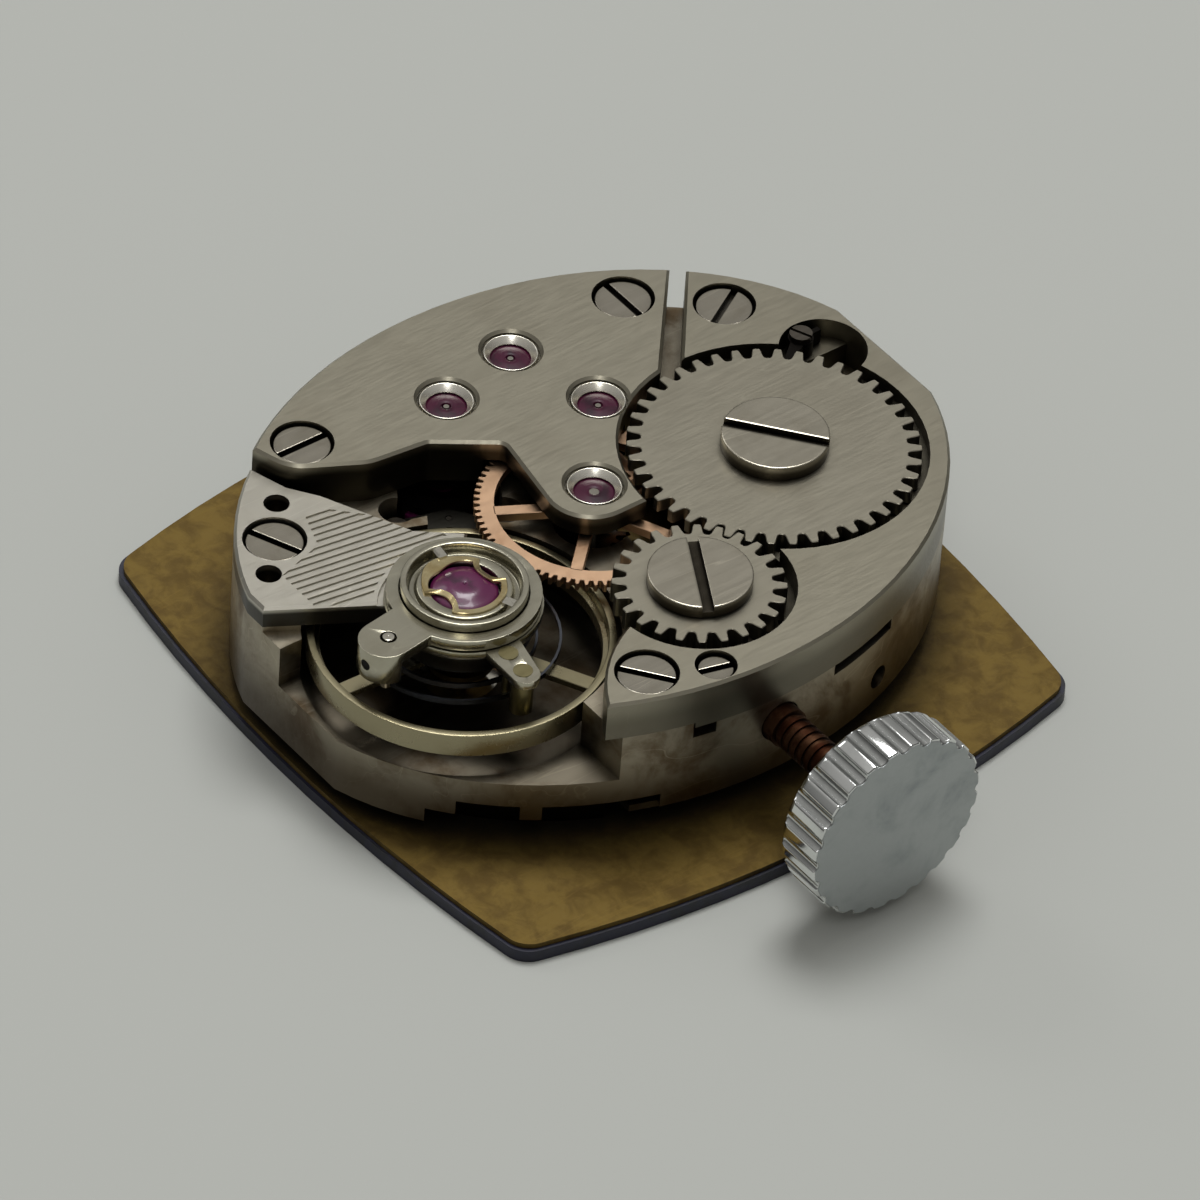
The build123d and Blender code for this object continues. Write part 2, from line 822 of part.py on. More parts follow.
def make_barrel_bridge():
    bridge = edged(slab(barrel_region(), plate_top, bridge_top), bridge_top)
    bridge -= foot_pad(plate_top - overrun, plate_top + foot_pad_height)
    bridge -= bar(ratchet_recess, ratchet_low - ratchet_floor_gap, bridge_top + overrun, barrel)
    bridge -= bar(crown_recess, crown_floor, bridge_top + overrun, crown_wheel_place)
    bridge -= bar(centre_tip + pocket_clearance, plate_top - overrun, web_under - ratchet_floor_gap)
    opening = at(click_opening_shares)
    bridge -= bar(click_opening_radius, click_low - ratchet_floor_gap, bridge_top + overrun, opening)
    deep = bar(click_opening_radius, plate_top - overrun, bridge_top + overrun, opening)
    deep_start = (click_floor_share * half_width, 0)
    bridge -= deep & block(half_width, 2 * half_length, 0, 2 * bridge_top, deep_start)
    bridge -= bar(arbor_neck_radius + running_clearance, plate_top - overrun, bridge_top, barrel)
    groove_outer = ratchet_tip - click_spring_inset + running_clearance
    groove_inner = groove_outer - click_spring_width - 2 * running_clearance
    bridge -= washer(groove_outer, groove_inner, ratchet_low - ratchet_floor_gap - click_spring_height,
                     bridge_top, barrel)
    bridge += bar(crown_post_radius, plate_top + foot_pad_height, bridge_top + crown_head_gap / 2,
                  crown_wheel_place)
    bridge -= bar(screw_shank_radius, web_under - ratchet_floor_gap, 2 * bridge_top, crown_wheel_place)
    bridge -= winding_room()
    bridge -= lying(sliding_radius + winding_pocket_gap, sliding_x - stem_pull - winding_pocket_gap,
                    winding_x - winding_pocket_gap)
    for place in bridge_screw_places[2:]:
        bridge -= screw_seat(place, bridge_head_top)
    bridge -= small_seat(click_pivot, click_top)
    bridge -= bar(click_boss_radius + running_clearance, click_low - ratchet_floor_gap,
                  bridge_top + overrun, click_pivot)
    bridge -= bar(lever_head_radius + screw_recess_gap, lever_head_top - screw_head_height,
                  bridge_top + overrun, lever_pivot)
    bridge -= bar(lever_shank_radius, plate_top - overrun, bridge_top, lever_pivot)
    save("barrel_bridge", bridge)


def make_cock():
    cock = edged(slab(cock_region(), cock_under, cock_top), cock_top)
    cock -= bar(shock_body_radius, cock_under - overrun, cock_top + overrun, balance)
    cock -= screw_seat(cock_screw_place, cock_head_top)
    for shares in cock_hole_shares:
        cock -= bar(cock_hole_radius, cock_under - overrun, cock_top + overrun, at(shares))
    cock -= bar(cock_sink_radius, cock_top - cock_sink_depth, cock_top + overrun, balance)
    area = outline_face(*rib_area_shares) - Pos(*balance) * Circle(cock_sink_radius + rib_width)
    grooves = Sketch()
    for rib in range(rib_count):
        start = (balance[0] - cock_sink_radius + (rib_start - rib) * rib_pitch, balance[1])
        grooves += Pos(*start) * Rot(0, 0, rib_turn) * Rectangle(rib_width, rib_length)
    cock -= slab(grooves & area, cock_top - rib_depth, cock_top + overrun)
    save("balance_cock", cock)


def make_pallet_bridge():
    bridge = Part()
    for foot in pallet_feet:
        reach = distance(pallet, foot)
        bearing = bearing_of(pallet, foot)
        bridge += block(reach, pallet_bridge_width, pallet_bridge_low, pallet_bridge_top, pallet, bearing)
        bridge += bar(pallet_foot_radius, fourth_low - escape_drop - fork_thickness, pallet_bridge_top, foot)
    bridge += bar(pallet_bridge_width / 2, pallet_bridge_low, pallet_bridge_top, pallet)
    for foot in pallet_feet:
        bridge -= bar(small_shank_radius, 0, bridge_top, foot)
    bridge -= bar(pivot_radius + pivot_clearance, 0, bridge_top, pallet)
    save("pallet_bridge", bridge)


# Main plate
def keyless_area(inset):
    """Plan of the pocket for the levers, inside the oval wall."""
    left = keyless_x_share * half_width - inset
    low = keyless_low_share * half_length - inset
    high = keyless_high_share * half_length + inset
    right = half_width
    box = Pos((left + right) / 2, (low + high) / 2) * Rectangle(right - left, high - low)
    return box & oval(inset=keyless_inset)


def wall_block(shares, width, depth, low, high):
    """A box that bites into the oval wall at a place on it."""
    place = at(shares)
    bearing = bearing_of(centre, (place[0] / half_width, place[1] / half_length * half_width / half_length))
    return block(depth + overrun, width, low, high, place, bearing, -depth)


def plate_blank():
    blank = slab(oval(), flange_bottom, plate_top)
    blank += slab(oval(base_share), dial_thickness, flange_bottom)
    strip = Pos(0, lip_line_share * half_length - half_length / 2) * Rectangle(2 * half_width, half_length)
    lip = (strip & oval()) - oval(inset=lip_width)
    blank += slab(lip, flange_bottom - lip_height, flange_bottom)
    blank += foot_pad(plate_top, plate_top + foot_pad_height)
    pad_y = cock_pad_line_share * half_length
    pad_x = cock_pad_edge_share * half_width
    pad = Pos(pad_x - half_width / 2, pad_y - half_length / 2) * Rectangle(half_width, half_length)
    blank += slab(pad & cock_region(), plate_top, cock_under)
    return blank


def plate_pockets():
    """Everything that is milled out of the main plate."""
    high = bridge_top
    cuts = [
        bar(drum_radius + pocket_clearance, barrel_floor, high, barrel),
        bar(barrel_tip + pocket_clearance, barrel_teeth_low - pocket_clearance, high, barrel),
        bar(third_tip + pocket_clearance, third_low - pocket_clearance, high, third),
        bar(fourth_tip + pocket_clearance, fourth_low - pocket_clearance, high, fourth),
        bar(escape_tip + pocket_clearance, train_floor, high, escape),
        bar(tip_radius(centre_pinion_teeth, barrel_module) + pocket_clearance, train_floor, high),
        bar(balance_radius + balance_recess_gap, train_floor, high, balance),
        bar(shock_body_radius, dial_thickness, high, balance),
        bar(arbor_neck_radius + running_clearance, dial_thickness + base_height / 2, high, barrel),
        bar(centre_arbor_radius + running_clearance, 0, high),
    ]
    arm_reach = escape_tip * math.sin(math.radians(pallet_arm_angle)) + pallet_arm_width
    fork_room = fork_head_width / 2 + pallet_arm_width
    cuts.append(block(arm_reach + pocket_clearance, 2 * arm_reach, train_floor, high, pallet, escape_line,
                      -arm_reach))
    cuts.append(block(distance(pallet, balance), 2 * fork_room, train_floor, high, pallet, escape_line))
    for foot in pallet_feet:
        cuts.append(bar(pallet_foot_radius + pocket_clearance, escape_low, high, foot))
        width = pallet_bridge_width + 2 * pocket_clearance
        cuts.append(block(distance(pallet, foot), width, escape_low, high, pallet, bearing_of(pallet, foot)))
    for place in (third, fourth):
        cuts.append(bar(arbor_radius + running_clearance, train_floor, high, place))
    window = outline_face(
        window_left_share, window_right_share, (window_reach_share, window_right_share[1]),
        (window_reach_share, -window_reach_share), (window_left_share[0], -window_reach_share))
    cuts.append(slab(window, front_wall_height, high))
    return cuts


def dial_side_pockets():
    """The pockets cut from the dial side for the motion work and the levers."""
    low = dial_thickness - overrun
    cuts = [bar(tip_radius(hour_teeth, hour_module) + motion_pocket_gap, low, hour_ceiling)]
    wheels = ((cannon_teeth, centre), (minute_teeth, minute_place), (setting_teeth, setting_place))
    for teeth, place in wheels:
        cuts.append(bar(tip_radius(teeth, motion_module) + motion_pocket_gap, low, motion_ceiling, place))
    cuts.append(slab(keyless_area(0), low, keyless_top))
    cuts.append(slab(keyless_area(keyless_ledge), low, cover_top))
    return cuts


def winding_room():
    """The chamber for the winding pinion."""
    reach = winding_tip + winding_pocket_gap
    return lying(reach, winding_x - winding_pocket_gap, winding_x + winding_width + winding_pocket_gap)


def stem_room():
    """The tunnel and chambers along the stem."""
    return [
        lying(stem_radius + running_clearance, stem_round_x, half_width + overrun),
        winding_room(),
        lying(sliding_radius + winding_pocket_gap, sliding_x - stem_pull - winding_pocket_gap, winding_x),
        lying(stem_pilot_radius + running_clearance, stem_start_x - overrun, sliding_x),
        block(stem_groove_width + stem_pull + lever_pin_radius, 4 * lever_pin_radius, lever_low, stem_height,
              (stem_groove_x - lever_pin_radius, 0)),
    ]


def make_main_plate():
    plate = plate_blank()
    plate -= plate_pockets()
    for foot in pallet_feet:
        plate += bar(pallet_foot_radius + pivot_radius, train_floor - web_thickness / 2, escape_low, foot)
    plate -= dial_side_pockets()
    plate -= stem_room()
    wall_starts = notch_reach_shares[0::2]
    wall_ends = notch_reach_shares[1::2]
    for start, end in zip(wall_starts, wall_ends):
        first = at(start)
        last = at(end)
        plate -= block(distance(first, last), 2 * notch_depth, flange_bottom - overrun,
                       flange_bottom + notch_height, first, bearing_of(first, last))
    for shares, width in zip(pry_shares, pry_widths):
        plate -= wall_block(shares, width, pry_depth, plate_top - pry_height,
                            plate_top + 2 * foot_pad_height)
    hole = at(casing_hole_shares)
    hole_height = flange_bottom + casing_hole_height
    bore = Rot(0, 90, 0) * Cylinder(casing_hole_radius, 2 * casing_hole_depth)
    plate -= Pos(hole[0], hole[1], hole_height) * Rot(0, 0, bearing_of(centre, hole)) * bore
    for place in bridge_screw_places:
        plate -= screw_seat(place, bridge_head_top)
    plate -= screw_seat(cock_screw_place, cock_head_top)
    for foot in pallet_feet:
        plate -= small_seat(foot, pallet_bridge_top)
    for place in cover_screw_places:
        plate -= bar(small_shank_radius, cover_low, cover_low + small_screw_length, place)
    for place in (third, fourth, escape, pallet):
        plate -= bar(lower_jewel_radius, motion_ceiling, train_floor, place)
    plate -= bar(lever_shank_radius, lever_low, bridge_top, lever_pivot)
    plate += bar(motion_post_radius, hour_low, motion_ceiling, minute_place)
    plate += bar(motion_post_radius, minute_low, motion_ceiling, setting_place)
    save("main_plate", plate)


# Jewels and their settings
def make_jewels():
    settings = []
    rubies = []
    jewel_top = bridge_top - jewel_depth
    for place, radius in ((centre, centre_arbor_radius), (third, pivot_radius), (fourth, pivot_radius),
                          (escape, pivot_radius)):
        ring = washer(setting_radius, jewel_radius, web_under, bridge_top - setting_depth, place)
        ring -= dish(jewel_radius, setting_dish_radius, jewel_top, bridge_top - setting_depth, place)
        settings.append(ring)
        bore = radius + pivot_clearance
        rubies.append(washer(jewel_radius, bore, jewel_top - jewel_thickness, jewel_top, place))
    save("jewel_settings", *settings)
    save("train_jewels", *rubies)
    lower = []
    for place in (third, fourth, escape, pallet):
        bore = pivot_radius + pivot_clearance
        lower.append(washer(lower_jewel_radius, bore, motion_ceiling, train_floor, place))
    lower.append(bar(cap_jewel_radius, dial_thickness + base_height / 2, flange_bottom, balance))
    save("lower_jewels", *lower)


# Barrel
def make_barrel():
    drum = gear(barrel_teeth, barrel_module, barrel_teeth_low, drum_top, barrel)
    drum += bar(drum_radius, drum_low, drum_top, barrel)
    drum -= bar(drum_radius - drum_wall, drum_low - overrun, drum_top - drum_web, barrel)
    drum -= bar(arbor_neck_radius + running_clearance, drum_low, drum_top + overrun, barrel)
    save("barrel_drum", drum)
    cover_high = drum_low + barrel_cover_thickness
    save("barrel_cover", washer(drum_radius - drum_wall, arbor_neck_radius + running_clearance, drum_low,
                                cover_high, barrel))
    core_low = cover_high + running_clearance
    core_high = drum_top - drum_web - running_clearance
    body = bar(arbor_neck_radius, dial_thickness + base_height / 2 + running_clearance, ratchet_low, barrel)
    body += bar(arbor_core_radius, core_low, core_high, barrel)
    body += Pos(*barrel, ratchet_low) * Box(arbor_square, arbor_square, ratchet_thickness, align=STANDING)
    body -= bar(screw_shank_radius, web_under, bridge_top + overrun, barrel)
    save("barrel_arbor", body)
    inner = arbor_core_radius + mainspring_thickness
    outer = drum_radius - drum_wall - mainspring_margin - mainspring_thickness
    pitch = (outer - inner) / mainspring_turns
    face = spiral_face(inner, pitch, 4 * mainspring_turns, mainspring_thickness)
    spring = slab(face, core_low + mainspring_margin, core_high - mainspring_margin)
    save("mainspring", Pos(*barrel) * spring)


def spiral_arcs(inner, pitch, quarters):
    """Quarter turns of a spiral: each keeps the last one's tangent and is a quarter pitch wider."""
    arcs = []
    middle = centre
    radius = inner
    for quarter in range(quarters):
        start = 90 * quarter
        arcs.append((middle, radius, start))
        end = polar(middle, radius, start + 90)
        radius += pitch / 4
        middle = polar(end, -radius, start + 90)
    return arcs


def spiral_points(inner, pitch, quarters, offset=0, steps=6):
    """Points along the spiral, moved outwards by an offset."""
    points = []
    for middle, radius, start in spiral_arcs(inner, pitch, quarters):
        for step in range(steps):
            points.append(polar(middle, radius + offset, start + 90 * step / steps))
    return points


def spiral_face(inner, pitch, quarters, thickness):
    """The plan of a flat spiral strip: outer arcs out, inner arcs back."""
    lines = []
    arcs = spiral_arcs(inner, pitch, quarters)
    for side in (thickness / 2, -thickness / 2):
        for middle, radius, start in arcs:
            ends = [polar(middle, radius + side, start + turn) for turn in (0, 45, 90)]
            lines.append(ThreePointArc(*ends))
    for (middle, radius, start), turn in ((arcs[0], 0), (arcs[-1], 90)):
        edges = [polar(middle, radius + side, start + turn) for side in (-thickness / 2, thickness / 2)]
        lines.append(Line(*edges))
    return make_face(lines)


def least_gap(inner, pitch, quarters, thickness):
    """The least distance between neighbouring turns, measured on points."""
    steps = 24
    points = spiral_points(inner, pitch, quarters, 0, steps)
    turn = 4 * steps
    gaps = []
    for index, point in enumerate(points):
        for other in points[index + turn // 2:]:
            gaps.append(distance(point, other) - thickness)
    return min(gaps)


# Ratchet wheel, crown wheel and click
def make_winding_wheels():
    ratchet = gear(ratchet_teeth, winding_module, ratchet_low, bridge_top, barrel, ratchet_turn)
    ratchet -= bar(ratchet_sink_radius, bridge_top - ratchet_sink_depth, bridge_top + overrun, barrel)
    ratchet += bar(ratchet_head_radius, ratchet_low, bridge_top, barrel)
    square = Box(arbor_square, arbor_square, 2 * overrun + ratchet_thickness, align=STANDING)
    ratchet -= Pos(*barrel, ratchet_low - overrun) * square
    save("ratchet_wheel", ratchet)
    head_top = bridge_top + ratchet_head_height
    save("ratchet_screw",
         screw(barrel, head_top, ratchet_head_radius, ratchet_head_height, screw_shank_radius, bridge_web,
               ratchet_slot_width, screw_slot_depth, ratchet_slot_turn))
    crown_wheel = gear(crown_wheel_teeth, winding_module, crown_wheel_low, bridge_top, crown_wheel_place,
                       crown_wheel_turn)
    crown_wheel -= bar(crown_post_radius + running_clearance, 0, 2 * bridge_top, crown_wheel_place)
    save("crown_wheel", crown_wheel)
    head_top = bridge_top + crown_head_gap + crown_head_height
    save("crown_wheel_screw",
         screw(crown_wheel_place, head_top, crown_head_radius, crown_head_height, screw_shank_radius,
               bridge_web, ratchet_slot_width, screw_slot_depth, crown_slot_turn))


def make_click():
    tip = polar(barrel, ratchet_tip - addendum_share * winding_module - click_beak_reach, click_bearing)
    bearing = bearing_of(click_pivot, tip)
    reach = distance(click_pivot, tip)
    left = [polar(click_pivot, click_beak_root_width / 2, bearing + side) for side in (90, -90)]
    right = [polar(tip, click_beak_width / 2, bearing + side) for side in (-90, 90)]
    beak = slab(make_face(Polyline(left[0], left[1], right[0], right[1], close=True)), click_low, click_top)
    body = bar(click_boss_radius, click_low, click_top, click_pivot) + beak
    body += block(reach * tooth_root_share, click_spring_width, click_low, click_top, click_pivot,
                  bearing + click_tail_turn)
    body -= bar(small_shank_radius + running_clearance, 0, bridge_top, click_pivot)
    save("click", body)
    outer = ratchet_tip - click_spring_inset
    low = ratchet_low - ratchet_floor_gap - click_spring_height + running_clearance / 2
    ring = washer(outer, outer - click_spring_width, low, ratchet_low - ratchet_floor_gap, barrel)
    wedge_points = [barrel]
    sector_steps = 4
    for step in range(sector_steps + 1):
        bearing = click_spring_from + (click_spring_to - click_spring_from) * step / sector_steps
        wedge_points.append(polar(barrel, 2 * ratchet_tip, bearing))
    wedge = slab(make_face(Polyline(*wedge_points, close=True)), 0, bridge_top)
    save("click_spring", ring & wedge)


# Going train
def make_train():
    wheel = gear(centre_teeth, centre_module, centre_wheel_low, centre_wheel_top)
    wheel = spoked(wheel, centre_tip, centre_arms, centre_wheel_low, centre_wheel_top, centre,
                   centre_spoke_turn)
    wheel -= bar(centre_arbor_radius, 0, bridge_top)
    save("centre_wheel", wheel)
    spindle = bar(centre_arbor_radius, minute_low - motion_wheel_gap, bridge_top - jewel_depth)
    spindle += gear(centre_pinion_teeth, barrel_module, barrel_teeth_low - pinion_overlap,
                    drum_top + pinion_overlap, centre, centre_pinion_turn)
    spindle += bar(cannon_bore_radius, running_clearance, minute_low - motion_wheel_gap)
    save("centre_arbor", spindle)
    stations = (
        ("third", third, third_teeth, third_module, third_low, third_top, third_pinion_teeth, centre_module,
         centre_wheel_low, third_pinion_turn),
        ("fourth", fourth, fourth_teeth, fourth_module, fourth_low, fourth_top, fourth_pinion_teeth,
         third_module, third_low, fourth_pinion_turn),
    )
    for name, place, teeth, module, low, high, leaves, leaf_module, pinion_low, turn in stations:
        wheel = gear(teeth, module, low, high, place)
        wheel = spoked(wheel, tip_radius(teeth, module), train_arms, low, high, place)
        wheel -= bar(arbor_radius, 0, bridge_top, place)
        save(f"{name}_wheel", wheel)
        spindle = arbor(place, motion_ceiling, bridge_top - jewel_depth, arbor_radius)
        spindle += gear(leaves, leaf_module, pinion_low - pinion_overlap, pinion_low + pinion_height, place,
                        turn)
        save(f"{name}_arbor", spindle)


def make_escapement():
    root = escape_tip * (1 - escape_club_share / 2)
    face = toothed_face(escape_teeth, root, escape_tip, escape_line + 180 / escape_teeth,
                        tooth_root_share / 2, tooth_tip_share / 2, tooth_tip_share)
    wheel = Pos(*escape) * slab(face, escape_low, escape_top)
    wheel = spoked(wheel, root, train_arms, escape_low, escape_top, escape)
    wheel -= bar(arbor_radius, 0, bridge_top, escape)
    save("escape_wheel", wheel)
    spindle = arbor(escape, motion_ceiling, bridge_top - jewel_depth, arbor_radius)
    spindle += gear(escape_pinion_teeth, fourth_module, fourth_low - pinion_overlap,
                    fourth_low + pinion_height, escape, escape_pinion_turn)
    save("escape_arbor", spindle)

    fork = bar(arbor_radius + lever_width / 2, escape_low, escape_top, pallet)
    head_start = lever_reach - fork_head_length + fork_notch_depth / 2
    fork += block(head_start, lever_width, escape_low, escape_top, pallet, escape_line)
    fork += block(fork_head_length, fork_head_width, escape_low, escape_top, pallet, escape_line, head_start)
    notch_width = 2 * (impulse_pin_radius + notch_clearance)
    fork -= block(fork_notch_depth + overrun, notch_width, 0, bridge_top, pallet, escape_line,
                  head_start + fork_head_length - fork_notch_depth)
    stones = []
    for side in (1, -1):
        contact = polar(escape, escape_tip, escape_line + side * pallet_arm_angle)
        bearing = bearing_of(pallet, contact)
        reach = distance(pallet, contact) - stone_length / 2
        fork += block(reach, pallet_arm_width, escape_low, escape_top, pallet, bearing)
        stone = block(stone_length, stone_width, escape_low - running_clearance,
                      escape_low - running_clearance + stone_height, contact, bearing, -stone_length)
        stones.append(stone)
    for stone in stones:
        fork -= stone
    staff_top = pallet_bridge_top
    fork += bar(pivot_radius, motion_ceiling, staff_top, pallet)
    fork += bar(arbor_radius, train_floor + pocket_clearance, pallet_bridge_low - running_clearance, pallet)
    save("pallet_fork", fork)
    save("pallet_stones", *stones)


# Balance
def make_balance():
    inner = balance_radius - balance_rim_width
    wheel = washer(balance_radius, inner, rim_low, rim_top, balance)
    wheel += washer(inner, inner - balance_ledge_width, rim_low, rim_low + balance_ledge_height, balance)
    for arm in range(balance_arms):
        bearing = balance_turn + arm * 360 / balance_arms
        wheel += block(inner, balance_arm_width, arm_low, arm_top, balance, bearing)
    wheel += bar(balance_hub_radius, arm_low, arm_top, balance)
    wheel -= bar(balance_staff_radius, 0, bridge_top, balance)
    save("balance_wheel", wheel)

    staff_low = flange_bottom + running_clearance
    staff_top = cap_low - running_clearance
    staff = bar(pivot_radius, staff_low, staff_top, balance)
    staff += bar(balance_staff_radius, train_floor + pocket_clearance, cock_under + pocket_clearance,
                 balance)
    save("balance_staff", staff)
    roller_top = roller_low + roller_thickness
    pin_place = polar(balance, impulse_radius, escape_line + 180)
    roller = washer(roller_radius, balance_staff_radius, roller_low, roller_top, balance)
    roller += washer(safety_radius, balance_staff_radius, escape_low, roller_low, balance)
    roller -= bar(impulse_pin_radius, 0, bridge_top, pin_place)
    save("roller", roller)
    save("impulse_jewel", bar(impulse_pin_radius, roller_low - impulse_pin_reach, roller_top, pin_place))
    save("hairspring_collet", washer(collet_radius, balance_staff_radius, spring_low, spring_top, balance))


def make_hairspring():
    """The spiral runs out to the stud, so it is turned until its last quarter ends there."""
    arcs = spiral_arcs(hairspring_inner, hairspring_pitch, hairspring_quarters)
    middle, radius, start = arcs[-1]
    end = polar(middle, radius, start + 90)
    turn = carrier_bearing + bearing_of(centre, end)
    path = []
    for mid, rad, first in arcs:
        path.append(ThreePointArc(*[polar(mid, rad, first + step) for step in (0, 45, 90)]))
    start_plane = Plane(origin=(hairspring_inner, 0, 0), x_dir=(1, 0, 0), z_dir=(0, 1, 0))
    strip = sweep(start_plane * Rectangle(hairspring_thickness, hairspring_width), path=Wire(path))
    strip = mirror(strip, Plane.XZ)
    height = (spring_low + spring_top) / 2
    save("hairspring", Pos(*balance, height) * Rot(0, 0, turn) * strip)
    gap = least_gap(hairspring_inner, hairspring_pitch, hairspring_quarters, hairspring_thickness)
    print("hairspring least gap to itself", round(gap, 3), "outer radius", round(distance(centre, end), 3))


def make_shock_settings():
    top = cock_top + shock_flange_height
    block_body = bar(shock_flange_radius, cock_top, top, balance)
    block_body += bar(shock_body_radius, cock_under, cock_top, balance)
    block_body -= dish(shock_seat_radius, shock_dish_radius, top - shock_dish_depth, top, balance)
    block_body -= bar(cap_jewel_radius, cap_low, top, balance)
    block_body -= bar(balance_staff_radius + running_clearance, cock_under - overrun, cap_low, balance)
    save("upper_shock_block", block_body)
    edge_top = cap_low + cap_jewel_height
    jewel = bar(cap_jewel_radius, cap_low, edge_top, balance)
    jewel += dish(cap_jewel_radius, cap_jewel_table, edge_top, edge_top + cap_jewel_crown, balance)
    save("upper_cap_jewel", jewel)
    spring_base = top - shock_dish_depth
    lyre = washer(shock_seat_radius, shock_seat_radius - shock_spring_width, spring_base,
                  spring_base + shock_spring_height, balance)
    for bearing in (95, -85):
        loop_place = polar(balance, shock_seat_radius, bearing)
        loop = washer(shock_loop_radius, shock_loop_radius - shock_spring_width, spring_base,
                      spring_base + shock_spring_height, loop_place)
        lyre += loop & bar(shock_seat_radius, 0, 2 * bridge_top, balance)
    save("upper_shock_spring", lyre)
    lower = washer(shock_body_radius, pivot_radius + pivot_clearance, flange_bottom, train_floor, balance)
    lower -= bar(balance_staff_radius + running_clearance, train_floor - pocket_clearance,
                 train_floor + overrun, balance)
    save("lower_shock_block", lower)


def make_regulator():
    ring = bar(regulator_ring_radius, regulator_low, regulator_top, balance)
    root = polar(balance, collar_radius, regulator_bearing)
    tip = polar(balance, regulator_reach - regulator_arm_tip, regulator_bearing)
    points = [polar(root, regulator_arm_root, regulator_bearing + side) for side in (90, -90)]
    points += [polar(tip, regulator_arm_tip, regulator_bearing + side) for side in (-90, 90)]
    arm = slab(make_face(Polyline(*points, close=True)), regulator_low, regulator_top)
    ring += arm
    ring += bar(regulator_arm_tip, regulator_low, regulator_top, tip)
    ring -= bar(collar_radius, 0, 2 * bridge_top, balance)
    pins = []
    for reach, radius in ((curb_pin_reach, curb_pin_radius), (curb_key_reach, curb_key_radius)):
        place = polar(balance, reach, regulator_bearing)
        ring -= bar(curb_head_radius, 0, 2 * bridge_top, place)
        pin = bar(radius, spring_low - hairspring_rise / 2, regulator_low - curb_head_height, place)
        pin += bar(curb_head_radius, regulator_low - curb_head_height, regulator_top + stack_gap / 2, place)
        pins.append(pin)
    save("regulator", ring)
    save("curb_pins", *pins)


def make_stud_carrier():
    ring = bar(carrier_ring_radius, carrier_low, carrier_top, balance)
    end_radius = carrier_arm_width / 2
    end_place = polar(balance, carrier_reach - end_radius, carrier_bearing)
    ring += block(carrier_reach - end_radius, carrier_arm_width, carrier_low, carrier_top, balance,
                  carrier_bearing)
    ring += bar(end_radius, carrier_low, carrier_top, end_place)
    lug = block(carrier_lug_length, carrier_arm_width, carrier_low - carrier_lug_drop, carrier_low, balance,
                carrier_bearing, carrier_reach - carrier_lug_length)
    ring += lug & bar(end_radius, 0, 2 * bridge_top, end_place)
    ring -= bar(collar_radius, 0, 2 * bridge_top, balance)
    stud_place = polar(balance, stud_reach, carrier_bearing)
    ring -= bar(stud_radius, 0, 2 * bridge_top, stud_place)
    screw_height = carrier_low - stud_screw_radius
    screw_start = polar(balance, stud_reach + stud_radius, carrier_bearing)
    screw_body = Pos(*screw_start, screw_height) * Rot(0, 0, carrier_bearing) * Rot(0, 90, 0)
    room = carrier_reach - stud_reach - stud_radius
    stud_screw = screw_body * Cylinder(stud_screw_radius, room - running_clearance, align=STANDING)
    ring -= screw_body * Cylinder(stud_screw_radius, room + overrun, align=STANDING)
    save("stud_carrier", ring)
    stud = bar(stud_radius, spring_low - stack_gap, carrier_top + stack_gap, stud_place)
    spring_slot = block(4 * stud_radius, hairspring_thickness + 2 * stack_gap, spring_low - overrun,
                        spring_top + stack_gap, stud_place, carrier_bearing + 90, -2 * stud_radius)
    save("stud", stud - spring_slot)
    save("stud_screw", stud_screw)


# Keyless work
def make_keyless():
    end_x = crown_front_x - crown_length + crown_bore_length - crown_neck_length
    stem = lying(stem_pilot_radius, stem_start_x, stem_shoulder_x)
    stem += lying_square(stem_square, stem_shoulder_x, stem_round_x)
    stem += lying(stem_radius, stem_round_x, stem_groove_x)
    stem += lying(stem_groove_radius, stem_groove_x, stem_groove_x + stem_groove_width)
    stem += lying(stem_radius, stem_groove_x + stem_groove_width, stem_thread_x)
    stem += lying(stem_thread_radius, stem_thread_x, end_x)
    thread_end = crown_front_x - crown_length - crown_neck_length
    turns = int((thread_end - stem_thread_x) / stem_thread_pitch)
    for turn in range(turns):
        start = stem_thread_x + turn * stem_thread_pitch
        groove = lying(stem_radius, start, start + stem_thread_pitch / 2)
        groove -= lying(stem_thread_radius - stem_thread_depth, start - overrun, start + overrun)
        stem -= groove
    save("winding_stem", stem)

    face = toothed_face(winding_teeth, winding_tip - (addendum_share + dedendum_share) * winding_module,
                        winding_tip, winding_turn())
    lay_down = Pos(winding_x, 0, stem_height) * Rot(0, 90, 0)
    pinion = lay_down * slab(face, 0, winding_width)
    pinion += clutch_ring(winding_x - clutch_height, winding_x, 0)
    pinion -= lying(stem_radius + running_clearance, winding_x - overrun,
                    winding_x + winding_width + overrun)
    save("winding_pinion", pinion)

    clutch_x = winding_x - clutch_height - clutch_gap
    slider = lying(sliding_radius, sliding_x, clutch_x)
    slider += clutch_ring(clutch_x, clutch_x + clutch_height, 180 / clutch_teeth)
    teeth = toothed_face(setting_teeth, sliding_radius - dedendum_share * motion_module,
                         sliding_radius + overrun, 0, tooth_tip_share, tooth_tip_share)
    between = Circle(sliding_radius + overrun) - teeth
    gaps = Pos(sliding_x, 0, stem_height) * Rot(0, 90, 0) * slab(between, -overrun, clutch_height)
    slider -= [gap for gap in gaps.solids()]
    groove_x = sliding_x + sliding_groove_x
    groove = lying(sliding_radius + overrun, groove_x, groove_x + sliding_groove_width)
    slider -= groove - lying(sliding_groove_radius, groove_x - overrun, groove_x + overrun)
    slider -= lying_square(stem_square + 2 * running_clearance, sliding_x - overrun, winding_x)
    save("sliding_pinion", slider)
    make_levers(groove_x)


